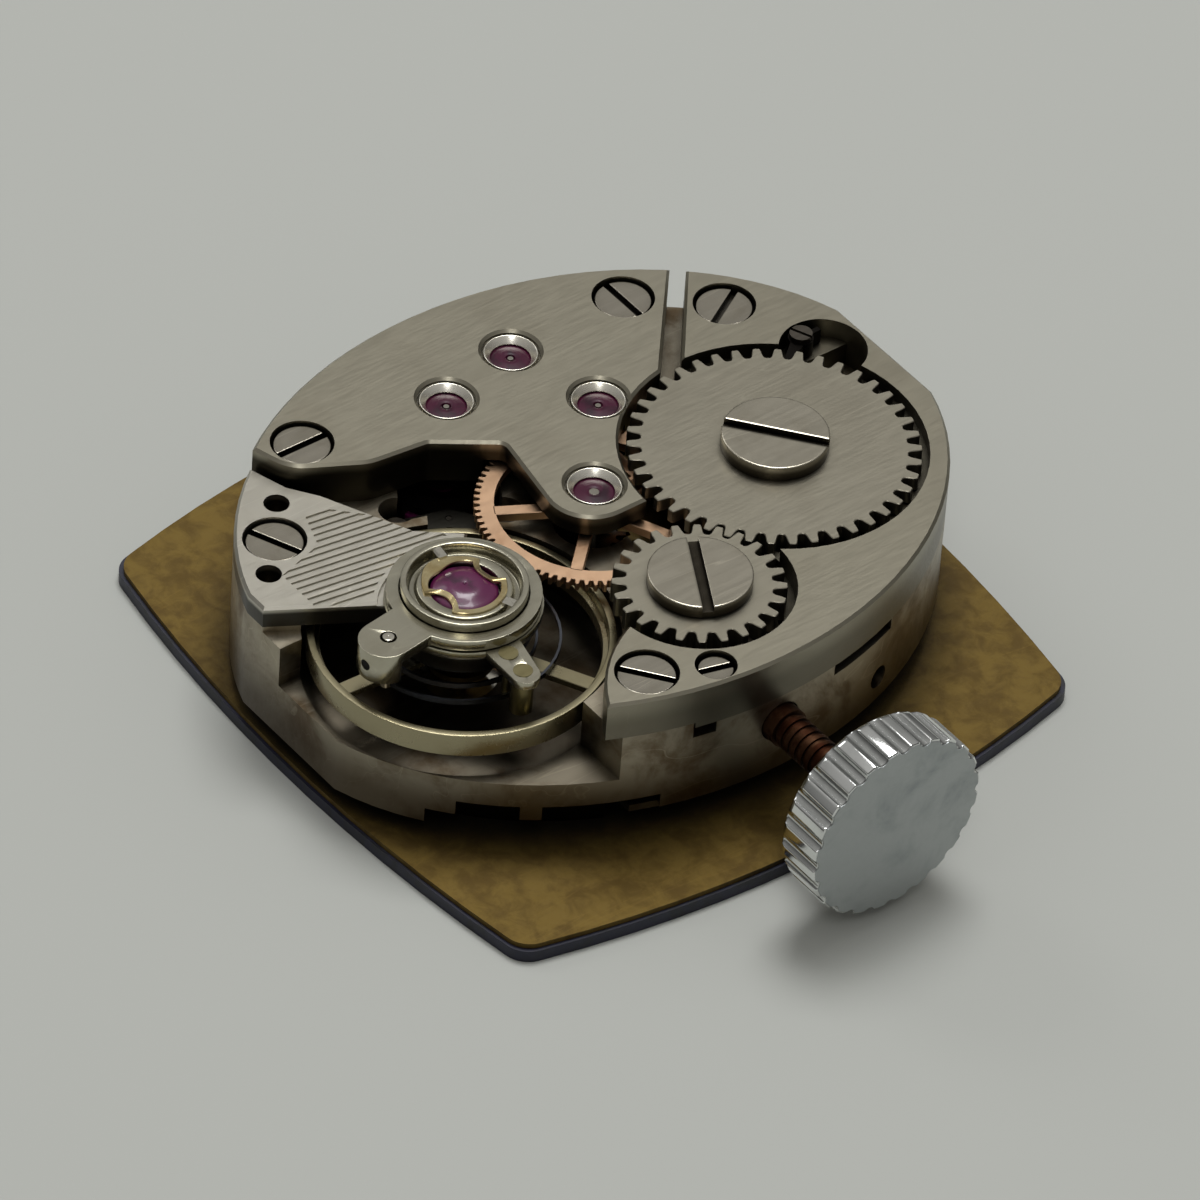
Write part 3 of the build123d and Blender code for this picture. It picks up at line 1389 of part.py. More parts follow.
def clutch_ring(start_x, end_x, turn):
    """A ring of dog teeth on the stem's axis, with gaps wider than the teeth."""
    ring = lying(clutch_radius, start_x, end_x)
    ring -= lying(stem_radius + running_clearance, start_x - overrun, end_x + overrun)
    gap_width = clutch_radius * math.pi / clutch_teeth * clutch_gap_share
    gap = Box(clutch_radius, gap_width, 2 * (end_x - start_x), align=(Align.MIN, Align.CENTER, Align.CENTER))
    for tooth in range(clutch_teeth):
        bearing = turn + (tooth + tooth_tip_share / 4) * 360 / clutch_teeth
        ring -= Pos((start_x + end_x) / 2, 0, stem_height) * Rot(0, 90, 0) * Rot(0, 0, bearing) * gap
    return ring


def winding_turn():
    """The turn that puts a tooth of the winding pinion in the crown wheel's gap above the stem."""
    pitch = 360 / crown_wheel_teeth
    offset = (crown_wheel_turn + pitch / 2) % pitch
    if offset > pitch / 2:
        offset -= pitch
    side = math.radians(offset) * winding_module * crown_wheel_teeth / 2 + crown_wheel_place[1]
    return 180 - math.degrees(side / (winding_module * winding_teeth / 2))


def make_levers(groove_x):
    pin_place = (stem_groove_x + stem_groove_width / 2, 0)
    reach = distance(lever_pivot, pin_place)
    bearing = bearing_of(lever_pivot, pin_place)
    lever = block(reach, lever_arm_width, lever_low, lever_top, lever_pivot, bearing)
    lever += bar(lever_boss_radius, lever_low, lever_top, lever_pivot)
    lever += bar(lever_arm_width / 2, lever_low, lever_top, pin_place)
    pin_top = stem_height - stem_groove_radius - running_clearance
    lever += bar(lever_pin_radius, lever_top, pin_top, pin_place)
    lever -= bar(lever_shank_radius + running_clearance, 0, bridge_top, lever_pivot)
    save("setting_lever", lever)

    tongue_place = (groove_x + sliding_groove_width / 2, 0)
    reach = distance(yoke_pivot, tongue_place)
    bearing = bearing_of(yoke_pivot, tongue_place)
    yoke = block(reach, yoke_width, lever_low, lever_top, yoke_pivot, bearing)
    yoke += bar(yoke_boss_radius, lever_low, lever_top, yoke_pivot)
    tongue_height = lever_thickness + yoke_tongue_rise
    tongue = Box(yoke_tongue_width, yoke_tongue_length, tongue_height, align=STANDING)
    yoke += Pos(*tongue_place, lever_low) * tongue
    yoke -= bar(motion_post_radius + running_clearance, 0, bridge_top, yoke_pivot)
    save("yoke", yoke)

    spring_height = (lever_low + lever_top) / 2
    offset = yoke_width / 2 + yoke_spring_offset
    spring_start = polar(polar(yoke_pivot, offset, bearing - 90), yoke_boss_radius, bearing + 180)
    spring_place = Pos(spring_start[0], spring_start[1], spring_height) * Rot(0, 0, bearing) * Rot(0, 90, 0)
    wire = spring_place * Cylinder(yoke_spring_radius, yoke_spring_length, align=STANDING)
    save("yoke_spring", wire)

    cover = slab(keyless_area(keyless_ledge - running_clearance), cover_low, cover_top)
    cover -= bar(lever_shank_radius + running_clearance, 0, bridge_top, lever_pivot)
    cover -= winding_room()
    for place in cover_screw_places:
        cover -= bar(small_shank_radius, 0, bridge_top, place)
    cover += bar(motion_post_radius, cover_top, lever_top, yoke_pivot)
    save("keyless_cover", cover)


def make_crown():
    back_x = crown_front_x - crown_length
    body = lying(crown_radius, back_x, crown_front_x)
    front = [edge for edge in body.edges() if edge.center().X > crown_front_x - crown_rim]
    body = fillet(front, crown_rim)
    back = [edge for edge in body.edges() if edge.center().X < back_x + crown_rim]
    body = fillet(back, crown_dome)
    for flute in range(crown_flutes):
        bearing = flute * 360 / crown_flutes
        reach = crown_radius + flute_radius - flute_depth
        place = polar((stem_height, 0), reach, bearing)
        groove = Pos(back_x - overrun, place[1], place[0]) * Rot(0, 90, 0)
        body -= groove * Cylinder(flute_radius, crown_length - crown_rim + overrun, align=STANDING)
    neck_x = back_x - crown_neck_length
    body += lying(crown_neck_radius, neck_x, back_x + overrun)
    body -= lying(stem_thread_radius, neck_x - overrun, neck_x + crown_bore_length)
    save("crown", body)


# Motion work
def make_motion_work():
    cannon = gear(cannon_teeth, motion_module, minute_low - motion_wheel_gap / 2,
                  minute_top + motion_wheel_gap / 2)
    cannon += bar(cannon_radius, 0, minute_low)
    cannon -= bar(centre_arbor_radius, -overrun, bridge_top)
    save("cannon_pinion", cannon)
    minute = gear(minute_teeth, motion_module, minute_low, minute_top, minute_place, minute_turn)
    minute += gear(minute_pinion_teeth, hour_module, hour_low - pinion_overlap, minute_low, minute_place)
    minute -= bar(motion_post_radius + running_clearance, 0, bridge_top, minute_place)
    save("minute_wheel", minute)
    hour = gear(hour_teeth, hour_module, hour_low, hour_top, centre, hour_turn)
    hour += bar(hour_pipe_radius, 0, hour_low)
    hour -= bar(cannon_radius + running_clearance, -overrun, bridge_top)
    save("hour_wheel", hour)
    setting = gear(setting_teeth, motion_module, minute_low, minute_top, setting_place, setting_turn)
    setting -= bar(motion_post_radius + running_clearance, 0, bridge_top, setting_place)
    save("setting_wheel", setting)


make_dial()
make_main_plate()
make_train_bridge()
make_barrel_bridge()
make_cock()
make_pallet_bridge()
make_screws()
make_jewels()
make_barrel()
make_winding_wheels()
make_click()
make_train()
make_escapement()
make_balance()
make_hairspring()
make_shock_settings()
make_regulator()
make_stud_carrier()
make_keyless()
make_crown()
make_motion_work()
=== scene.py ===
import math

import bmesh
import bpy
import numpy as np
from mathutils import Matrix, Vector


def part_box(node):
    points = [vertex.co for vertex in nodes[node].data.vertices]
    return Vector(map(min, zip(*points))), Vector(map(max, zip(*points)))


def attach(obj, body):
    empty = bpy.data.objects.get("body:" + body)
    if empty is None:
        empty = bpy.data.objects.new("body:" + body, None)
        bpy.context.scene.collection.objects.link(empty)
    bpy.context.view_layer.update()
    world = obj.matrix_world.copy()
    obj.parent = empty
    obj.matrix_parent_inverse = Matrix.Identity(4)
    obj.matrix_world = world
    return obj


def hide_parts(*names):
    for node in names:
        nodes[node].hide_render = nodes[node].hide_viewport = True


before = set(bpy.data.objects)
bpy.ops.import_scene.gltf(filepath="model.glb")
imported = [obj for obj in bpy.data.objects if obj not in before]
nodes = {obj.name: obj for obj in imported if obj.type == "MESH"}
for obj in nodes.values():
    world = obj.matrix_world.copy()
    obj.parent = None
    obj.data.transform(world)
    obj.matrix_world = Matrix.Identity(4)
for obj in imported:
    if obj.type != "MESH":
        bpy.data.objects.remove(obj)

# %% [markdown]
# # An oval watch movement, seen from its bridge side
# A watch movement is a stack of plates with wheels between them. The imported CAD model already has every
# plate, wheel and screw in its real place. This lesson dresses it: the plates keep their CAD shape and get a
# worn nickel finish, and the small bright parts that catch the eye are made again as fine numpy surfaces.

MM = 0.001
JOIN = 2e-7                   # points nearer than this, in metres, are one point
CREASE = math.radians(32)     # a sharper bend than this is an edge
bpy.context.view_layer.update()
print("CAD nodes:", len(nodes))

# %% [markdown]
# ## A surface is a grid of points
# Every new piece is a grid: rows run along the piece, columns run round it. Such pieces could be modelled by
# hand from discs and tubes, but a grid follows its formula exactly and has no stray faces. One helper joins
# neighbouring points into faces, merges the doubles at seams and poles, and turns all faces outwards.


# %% The grid helper
def new_object(name, data):
    """An object for a mesh, lamp or camera, put into the scene."""
    made = bpy.data.objects.new(name, data)
    bpy.context.scene.collection.objects.link(made)
    return made


def ray(bearing):
    """The unit vectors along and across a bearing."""
    along = np.array([math.cos(bearing), math.sin(bearing)])
    return along, np.array([-along[1], along[0]])


def around(place, radius, bearing, height):
    """Points at a radius, bearing and height round an upright axis."""
    x, y = place[0] + radius * np.cos(bearing), place[1] + radius * np.sin(bearing)
    return np.stack(np.broadcast_arrays(x, y, height), -1)


def surface(name, points, closed_rows=True):
    """Face (i, j) joins points (i, j), (i+1, j), (i+1, j+1) and (i, j+1) of the grid. Columns always close up,
    and rows do unless the first and last row are poles."""
    rows, columns = points.shape[:2]
    row, column = np.meshgrid(np.arange(rows if closed_rows else rows - 1), np.arange(columns), indexing="ij")
    next_row, next_column = (row + 1) % rows, (column + 1) % columns
    faces = np.stack([row * columns + column, next_row * columns + column,
                      next_row * columns + next_column, row * columns + next_column], -1)
    mesh = bpy.data.meshes.new(name)
    mesh.from_pydata(points.reshape(-1, 3).tolist(), [], faces.reshape(-1, 4).tolist())
    work = bmesh.new()
    work.from_mesh(mesh)
    bmesh.ops.remove_doubles(work, verts=work.verts, dist=JOIN)
    bmesh.ops.recalc_face_normals(work, faces=work.faces)
    work.to_mesh(mesh)
    work.free()
    mesh.shade_smooth()
    mesh.set_sharp_from_angle(angle=CREASE)
    return new_object(name, mesh)


def finish_piece(piece, material, body, node):
    """Gives a new piece its material and its CAD body, and hides the CAD node that it stands for."""
    piece.data.materials.append(material)
    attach(piece, body)
    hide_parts(node)


# %% [markdown]
# ## Where things are
# The CAD nodes say where each axis, edge and level is, so nothing here is measured twice, and a new piece
# can't drift from the solid that it stands for. A node's box gives its centre and its levels, and its own
# points give finer facts, such as the turn of its teeth.


# %% Reading the frame
def points_of(node):
    """All corners of a CAD node, in millimetres."""
    mesh = nodes[node].data
    flat = np.empty(3 * len(mesh.vertices))
    mesh.vertices.foreach_get("co", flat)
    return flat.reshape(-1, 3) / MM


def levels(node):
    """The lowest and highest level of a node, in millimetres."""
    low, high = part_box(node)
    return low[2] / MM, high[2] / MM


def middle(node):
    """The middle of a node's box, seen from above."""
    low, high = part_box(node)
    return np.array([(low[0] + high[0]) / 2, (low[1] + high[1]) / 2]) / MM


def reach_of(node, place):
    """How far a node's corners reach from an upright axis."""
    return np.hypot(*(points_of(node)[:, :2] - place).T).max()


def islands(node):
    """Place, radius, levels and corners of each separate upright round solid in a node, sorted by place."""
    work = bmesh.new()
    work.from_mesh(nodes[node].data)
    bmesh.ops.remove_doubles(work, verts=work.verts, dist=JOIN)
    work.verts.ensure_lookup_table()
    left, found = set(range(len(work.verts))), []
    while left:
        stack, group = [left.pop()], []
        while stack:
            here = stack.pop()
            group.append(here)
            for edge in work.verts[here].link_edges:
                other = edge.other_vert(work.verts[here]).index
                if other in left:
                    left.discard(other)
                    stack.append(other)
        corners = np.array([work.verts[index].co[:] for index in group]) / MM
        low, high = corners.min(0), corners.max(0)
        found.append({"place": (low[:2] + high[:2]) / 2, "radius": (high[0] - low[0]) / 2,
                      "low": low[2], "high": high[2], "points": corners})
    work.free()
    return sorted(found, key=lambda one: tuple(one["place"].round(2)))


def tooth_turn(node, teeth, place):
    """The turn of a toothed wheel: the phase of the wave that its tooth tips make round the axis."""
    corners = points_of(node)[:, :2] - place
    radius = np.hypot(*corners.T)
    tips = corners[radius > radius.max() * 0.995]
    wave = np.exp(1j * teeth * np.arctan2(tips[:, 1], tips[:, 0])).sum()
    return np.angle(wave) / teeth


print("balance axis", middle("balance_staff").round(3), "levels of the crown wheel", levels("crown_wheel"))

# %% [markdown]
# ## Finishes
# Old nickel isn't one flat colour. It has fine brushed grain, cloudy tarnish and a few scratches. Photographed
# textures could show these, but noise needs no picture, has no seams and keeps its real size on every piece.
# Each effect is a small node group, built once and used by many materials with other numbers.


# %% Helpers for shader node groups
EASED = "SMOOTHSTEP"


def group(name, inputs, outputs):
    """A new shader group with named inputs and outputs. Each input is (name, default)."""
    tree = bpy.data.node_groups.new(name, "ShaderNodeTree")
    for label, value in inputs:
        kind = "NodeSocketVector" if isinstance(value, tuple) else "NodeSocketFloat"
        tree.interface.new_socket(label, in_out="INPUT", socket_type=kind).default_value = value
    for label in outputs:
        tree.interface.new_socket(label, in_out="OUTPUT", socket_type="NodeSocketFloat")
    return tree, tree.nodes.new("NodeGroupInput"), tree.nodes.new("NodeGroupOutput")


def add(tree, kind, links=(), **settings):
    """A node with its settings, and its inputs linked or set. links is a list of (input, socket or value)."""
    node = tree.nodes.new(kind)
    for key, value in settings.items():
        setattr(node, key, value)
    for key, value in links:
        if isinstance(value, bpy.types.NodeSocket):
            tree.links.new(value, node.inputs[key])
        else:
            node.inputs[key].default_value = value
    return node


def maths(tree, operation, *values):
    """The result of a Math node for sockets or numbers."""
    return add(tree, "ShaderNodeMath", list(enumerate(values)), operation=operation).outputs[0]


def object_place(tree):
    """The point that is shaded, in the piece's own metres."""
    return add(tree, "ShaderNodeTexCoord").outputs["Object"]


def map_range(tree, value, low, high, to_low=0.0, to_high=1.0, kind="LINEAR"):
    """The value's way from low to high, straight or eased at both ends."""
    return add(tree, "ShaderNodeMapRange", [("Value", value), ("From Min", low), ("From Max", high),
                                            ("To Min", to_low), ("To Max", to_high)],
               interpolation_type=kind).outputs["Result"]


def turned_noise(tree, start, **numbers):
    """Noise that the group's Turn and Scale inputs turn and draw out."""
    place = add(tree, "ShaderNodeMapping", [("Vector", object_place(tree)), ("Rotation", start.outputs["Turn"]),
                                            ("Scale", start.outputs["Scale"])]).outputs["Vector"]
    return add(tree, "ShaderNodeTexNoise", [("Vector", place), ("Scale", 1.0), *numbers.items()]).outputs["Fac"]


def new_material(name, **numbers):
    """A material with its tree and shader. The shader's plain numbers are set by name."""
    material = bpy.data.materials.new(name)
    material.use_nodes = True
    shader = material.node_tree.nodes["Principled BSDF"]
    for label, value in numbers.items():
        shader.inputs[label.replace("_", " ")].default_value = value
    return material, material.node_tree, shader


def linear(red, green, blue):
    """A screen colour from 0 to 255 as the linear colour that shaders use."""
    screen = np.array([red, green, blue]) / 255
    value = np.where(screen <= 0.04045, screen / 12.92, ((screen + 0.055) / 1.055) ** 2.4)
    return (*[float(part) for part in value], 1.0)


# %% Brushed grain: noise that is drawn out in one direction
PLAIN_GRAIN = (9000.0, 500.0, 4000.0)
grain_group, start, end = group("Brushed grain", [("Turn", (0.0, 0.0, 0.0)), ("Scale", PLAIN_GRAIN)],
                                ["Height"])
grain_group.links.new(turned_noise(grain_group, start, Detail=4.0, Roughness=0.65), end.inputs["Height"])
print("group:", grain_group.name)

# %% Clouds: soft patches of tarnish or dust
cloud_group, start, end = group("Clouds", [("Scale", 900.0), ("From", 0.45), ("To", 0.65)], ["Mask"])
patches = add(cloud_group, "ShaderNodeTexNoise", [
    ("Vector", object_place(cloud_group)), ("Scale", start.outputs["Scale"]), ("Detail", 6.0),
    ("Roughness", 0.6), ("Distortion", 0.4)]).outputs["Fac"]
cloud_group.links.new(map_range(cloud_group, patches, start.outputs["From"], start.outputs["To"], kind=EASED),
                      end.inputs["Mask"])
print("group:", cloud_group.name)

# %% Scratches: thin lines where a drawn-out noise crosses its middle value
scratch_group, start, end = group("Scratches", [("Turn", (0.0, 0.0, 0.6)), ("Scale", (1500.0, 90.0, 900.0)),
                                                ("Width", 0.006)], ["Mask"])
lines = turned_noise(scratch_group, start, Detail=2.0, Distortion=0.2)
offset = maths(scratch_group, "ABSOLUTE", maths(scratch_group, "SUBTRACT", lines, 0.5))
scratch_group.links.new(map_range(scratch_group, offset, start.outputs["Width"], 0.0), end.inputs["Mask"])
print("group:", scratch_group.name)

# %% [markdown]
# ## Where shade is painted
# Corners, low walls and the open well round the balance get less light than the tops, so shade is painted into
# their colour there, and on the plate's low walls brown rust stain as well. It could be painted on by hand, but
# three masks find these places by themselves: one feels for walls close by, one looks at depth inside the oval,
# and one at height alone.

# %% Painted corner shade: the colour goes dark where a wall or corner is close by, as if in shade
corner_shade_group, start, end = group("Painted corner shade", [("Distance", 0.0006), ("From", 0.15), ("To", 0.85)], ["Mask"])
open_sky = add(corner_shade_group, "ShaderNodeAmbientOcclusion", [("Distance", start.outputs["Distance"])],
               samples=6).outputs["AO"]
corner_shade_group.links.new(map_range(corner_shade_group, open_sky, start.outputs["To"], start.outputs["From"],
                                kind=EASED), end.inputs["Mask"])
print("group:", corner_shade_group.name)

# %% Well shade: painted shade, dark inside the oval and low down, where little light comes
WELL_EDGE, WELL_FULL, WELL_FLOOR = 0.86, 0.74, 0.0016
well_group, start, end = group("Well shade", [("Half width", 0.00632), ("Half length", 0.0078),
                                              ("Top", 0.0031)], ["Mask"])
parts = add(well_group, "ShaderNodeSeparateXYZ", [("Vector", object_place(well_group))]).outputs
squares = [maths(well_group, "POWER", maths(well_group, "DIVIDE", parts[axis], start.outputs[half]), 2.0)
           for axis, half in (("X", "Half width"), ("Y", "Half length"))]
inside = map_range(well_group, maths(well_group, "ADD", *squares), WELL_EDGE, WELL_FULL, kind=EASED)
depth = map_range(well_group, parts["Z"], start.outputs["Top"], WELL_FLOOR)
well_group.links.new(maths(well_group, "MULTIPLY", inside, depth), end.inputs["Mask"])
print("group:", well_group.name)

# %% Height shade: painted shade, walls and floors below a level are painted darker than the tops
height_group, start, end = group("Height shade", [("Unshaded above", 0.0041), ("Shaded below", 0.0038)], ["Mask"])
parts = add(height_group, "ShaderNodeSeparateXYZ", [("Vector", object_place(height_group))])
height_group.links.new(map_range(height_group, parts.outputs["Z"], start.outputs["Unshaded above"],
                                 start.outputs["Shaded below"], kind=EASED), end.inputs["Mask"])
print("group:", height_group.name)

# %% [markdown]
# ## One recipe for all metals
# A metal is a base colour, a second colour for its tarnished patches, and a roughness that the grain changes a
# little. Each finish could be a material built by hand, but one recipe with other numbers keeps them alike, as
# parts from one workshop are. Painted shade is mixed in close to corners, walls are painted darker below a
# level, and the well of the plate is painted darker with depth.


# %% The metal recipe
def blended(tree, amount, first, second):
    """A colour mixed from a socket or colour towards a second colour."""
    node = add(tree, "ShaderNodeMix", [("Factor", amount), (6, first)], data_type="RGBA")
    node.inputs[7].default_value = linear(*second)
    return node.outputs[2]


def scaled(tree, mask_node, factor):
    """A mask made weaker by a factor."""
    return maths(tree, "MULTIPLY", mask_node.outputs["Mask"], factor)


SCRATCH_TURN, SCRATCH_LIGHT = 25, 1.35    # scratches cross the grain at this angle, and are this much lighter
GRAIN_DEPTH, GLOSSIER, DULLER = 2e-6, 0.92, 1.1


def metal(name, colour, tarnish, roughness, turn=0.0, grain=PLAIN_GRAIN, grain_depth=0.25,
          patch=900.0, patch_from=0.45, patch_to=0.75, patch_amount=0.6, scratch_amount=0.25, corner_shade=0.0,
          corner_shade_reach=0.0006, well=0.0, metallic=1.0, painted_shade_colour=(18, 15, 11), low_shade_and_stain=0.0,
          low_shade_and_stain_levels=(4.1, 3.8), low_shade_and_stain_colour=(40, 36, 28), corner_shade_range=(0.15, 0.85), specular=0.5):
    """Layers of colour, each mixed over the last by its mask: clouds of tarnish, scratches, painted shade on
    the low walls (on the plate also rust stain), painted shade in the well and painted shade near corners.
    Roughness and bump both follow the brushed grain."""
    material, tree, shader = new_material(name, Metallic=metallic, Specular_IOR_Level=specular)
    grained = add(tree, "ShaderNodeGroup", [("Turn", (0, 0, math.radians(turn))), ("Scale", grain)],
                  node_tree=grain_group)
    clouds = add(tree, "ShaderNodeGroup", [("Scale", patch), ("From", patch_from), ("To", patch_to)],
                 node_tree=cloud_group)
    colour_now = blended(tree, scaled(tree, clouds, patch_amount), linear(*colour), tarnish)
    if scratch_amount:
        scratches = add(tree, "ShaderNodeGroup", [("Turn", (0, 0, math.radians(turn + SCRATCH_TURN)))],
                        node_tree=scratch_group)
        colour_now = blended(tree, scaled(tree, scratches, scratch_amount), colour_now,
                             [min(255, part * SCRATCH_LIGHT) for part in colour])
    # Painted shade below a level; on the plate, brown rust stain as well.
    if low_shade_and_stain:
        shade = add(tree, "ShaderNodeGroup", [("Unshaded above", low_shade_and_stain_levels[0] * MM),
                                              ("Shaded below", low_shade_and_stain_levels[1] * MM)], node_tree=height_group)
        colour_now = blended(tree, scaled(tree, shade, low_shade_and_stain), colour_now, low_shade_and_stain_colour)
    # Painted shade: dark inside the plate's well, more so deeper down.
    if well:
        shade = add(tree, "ShaderNodeGroup", [], node_tree=well_group)
        colour_now = blended(tree, scaled(tree, shade, well), colour_now, painted_shade_colour)
    # Painted shade: the colour goes dark close to walls and corners.
    if corner_shade:
        corner_shade_node = add(tree, "ShaderNodeGroup", [("Distance", corner_shade_reach), ("From", corner_shade_range[0]),
                                             ("To", corner_shade_range[1])], node_tree=corner_shade_group)
        colour_now = blended(tree, scaled(tree, corner_shade_node, corner_shade), colour_now, painted_shade_colour)
    tree.links.new(colour_now, shader.inputs["Base Color"])
    gloss = map_range(tree, grained.outputs["Height"], 0.3, 0.7, roughness * GLOSSIER, roughness * DULLER,
                      EASED)
    tree.links.new(gloss, shader.inputs["Roughness"])
    bump = add(tree, "ShaderNodeBump", [("Height", grained.outputs["Height"]), ("Distance", GRAIN_DEPTH),
                                        ("Strength", grain_depth)])
    tree.links.new(bump.outputs["Normal"], shader.inputs["Normal"])
    return material


HEAD_TOP = levels("ratchet_screw")[1]
unscratched = dict(scratch_amount=0.0)
satin = dict(grain=(26000.0, 1500.0, 8000.0), grain_depth=0.10)
bridge_satin = dict(satin, turn=35, patch=420.0, patch_amount=0.5, scratch_amount=0.08)
# Painted shade for screw heads: dark in their slots and close to the walls round them.
head_shade = dict(corner_shade=0.95, corner_shade_reach=0.0003, corner_shade_range=(0.45, 0.93))
# Painted shade: the train bridge's walls are painted dark below its top, and its corners dark too.
bridge_nickel = metal("satin nickel", (152, 147, 131), (140, 134, 118), 0.34, corner_shade=0.6, low_shade_and_stain=0.9,
                      low_shade_and_stain_levels=(4.15, 3.90), low_shade_and_stain_colour=(38, 34, 25), **bridge_satin)
# Painted shade: less on the walls over the barrel, more in its recesses.
barrel_nickel = metal("satin nickel over the barrel", (149, 144, 128), (137, 131, 115), 0.34, corner_shade=0.9,
                      low_shade_and_stain=0.45, low_shade_and_stain_levels=(4.14, 3.6), low_shade_and_stain_colour=(50, 43, 31), **bridge_satin)
# Painted shade: the cock's walls are painted dark below its top.
cock_nickel = metal("cock nickel", (186, 182, 170), (160, 154, 138), 0.33, turn=8, patch=500.0, low_shade_and_stain=0.92,
                    low_shade_and_stain_levels=(3.71, 3.60), low_shade_and_stain_colour=(30, 28, 23), **satin)
# The plate: painted shade in its well and close to corners, and its low walls painted brown and dark, part rust
# stain and part painted shade.
plate_nickel = metal("worn plate nickel", (160, 152, 134), (86, 66, 40), 0.38, patch=620.0, patch_amount=0.85,
                     patch_from=0.42, patch_to=0.66, corner_shade=0.6, well=0.97, low_shade_and_stain=0.85, low_shade_and_stain_levels=(2.9, 1.2),
                     low_shade_and_stain_colour=(50, 37, 20))
# Painted shade: dark close to corners, as between the teeth.
wheel_steel = metal("satin wheel steel", (150, 145, 130), (138, 132, 117), 0.34, turn=-50, patch=420.0,
                    patch_amount=0.4, scratch_amount=0.10, corner_shade=0.5, corner_shade_reach=0.0004, **satin)
screw_steel = metal("polished screw steel", (178, 172, 158), (146, 138, 120), 0.22, grain_depth=0.08,
                    patch_amount=0.5, **head_shade)
# Painted shade: the raised heads' walls are painted dark brown below their tops.
head_steel = metal("raised screw heads", (184, 178, 162), (150, 142, 124), 0.24, grain_depth=0.08,
                   patch_amount=0.5, low_shade_and_stain=0.85, low_shade_and_stain_levels=(HEAD_TOP - 0.03, HEAD_TOP - 0.20),
                   low_shade_and_stain_colour=(46, 37, 23), **head_shade)
bright_metal = metal("bright setting", (226, 222, 208), (176, 166, 146), 0.11, grain_depth=0.03,
                     patch_amount=0.3, **unscratched)
setting_metal = metal("jewel setting metal", (240, 236, 224), (196, 186, 164), 0.27, grain_depth=0.05,
                      patch_amount=0.4, **unscratched)
# Painted shade: dark low down and close to corners.
shock_nickel = metal("shock setting nickel", (184, 180, 162), (160, 154, 134), 0.22, grain_depth=0.05,
                     patch_amount=0.5, scratch_amount=0.1, corner_shade=0.5, corner_shade_reach=0.0004, low_shade_and_stain=0.5,
                     low_shade_and_stain_levels=(3.9, 3.6))
# Painted shade: the arbors are painted darker below the bridges.
arbor_steel = metal("arbor steel", (200, 195, 184), (160, 152, 136), 0.18, low_shade_and_stain=0.8, low_shade_and_stain_levels=(4.02, 3.85),
                    **unscratched)
dark_steel = metal("dark steel", (84, 79, 72), (52, 42, 32), 0.34, patch_amount=0.9, **unscratched)
# Painted shade: a near black that stands for the deep shade round the click and in the stud screw's hole.
shade_black_steel = metal("painted shade black", (22, 20, 18), (14, 12, 10), 0.45, **unscratched)
# Painted shade: brass parts in the well are painted darker with depth.
brass = metal("turned brass", (134, 116, 74), (88, 72, 42), 0.32, patch_amount=0.8, well=0.8, **unscratched)
curb_brass = metal("curb brass", (134, 126, 92), (108, 98, 66), 0.30, patch_amount=0.5, **unscratched)
balance_brass = metal("balance brass", (154, 146, 118), (126, 116, 86), 0.28, patch=500.0, patch_amount=0.6,
                      grain=(900.0, 900.0, 900.0), grain_depth=0.02, **unscratched)
# Painted shade: dark close to corners, as between the teeth and arms.
rose_gilt = metal("rose gilt", (208, 172, 140), (166, 122, 90), 0.36, patch_amount=0.6, grain_depth=0.08,
                  corner_shade=0.6, corner_shade_reach=0.0004, **unscratched)
gilt = metal("gilt spring", (214, 200, 158), (178, 152, 96), 0.20, patch=1200.0, patch_from=0.4, patch_to=0.6,
             grain_depth=0.03, **unscratched)
spring_steel = metal("spring steel", (96, 99, 106), (62, 58, 54), 0.22, **unscratched)
# Rust stain in patches, and painted shade close to corners.
rusty = metal("rust-stained stem", (78, 54, 38), (48, 24, 14), 0.50, patch=1800.0, patch_from=0.35,
              patch_to=0.6, patch_amount=0.95, corner_shade=0.6, **unscratched)
# Painted shade: the crown's flute grooves and corners are painted dark green-grey.
chrome = metal("crown chrome", (224, 226, 224), (178, 180, 178), 0.12, grain_depth=0.02, patch_amount=0.4,
               corner_shade=0.9, corner_shade_reach=0.0004, corner_shade_range=(0.62, 0.97), painted_shade_colour=(30, 35, 31), **unscratched)
crown_satin = metal("crown satin face", (174, 178, 178), (140, 146, 148), 0.42, patch=700.0, patch_amount=0.8,
                    scratch_amount=0.05, grain=(6000.0, 6000.0, 6000.0), grain_depth=0.5)
# Painted shadow: the dial is painted near black close to the movement's walls, where their shadow falls.
dial_brass = metal("aged dial brass", (115, 94, 44), (86, 67, 29), 0.60, turn=-20, patch=1900.0,
                   patch_from=0.36, patch_to=0.66, patch_amount=0.80, scratch_amount=0.10, corner_shade=1.0,
                   corner_shade_reach=0.0020, grain=(5200.0, 4600.0, 3000.0), grain_depth=1.0, metallic=0.15,
                   corner_shade_range=(0.30, 0.88), specular=0.15)
print("metals:", len(bpy.data.materials))

# %% [markdown]
# ## Ruby and lacquer
# Synthetic ruby is a clear, deep red-violet stone. In its setting it looks dark, with one bright reflection. A
# see-through stone would be truer to life but slow and grainy, so a dark base with a glossy coat stands in for
# it. The train's small rubies sit deep in their rings, so theirs is a copy with painted shade: darker, and
# hardly coated.


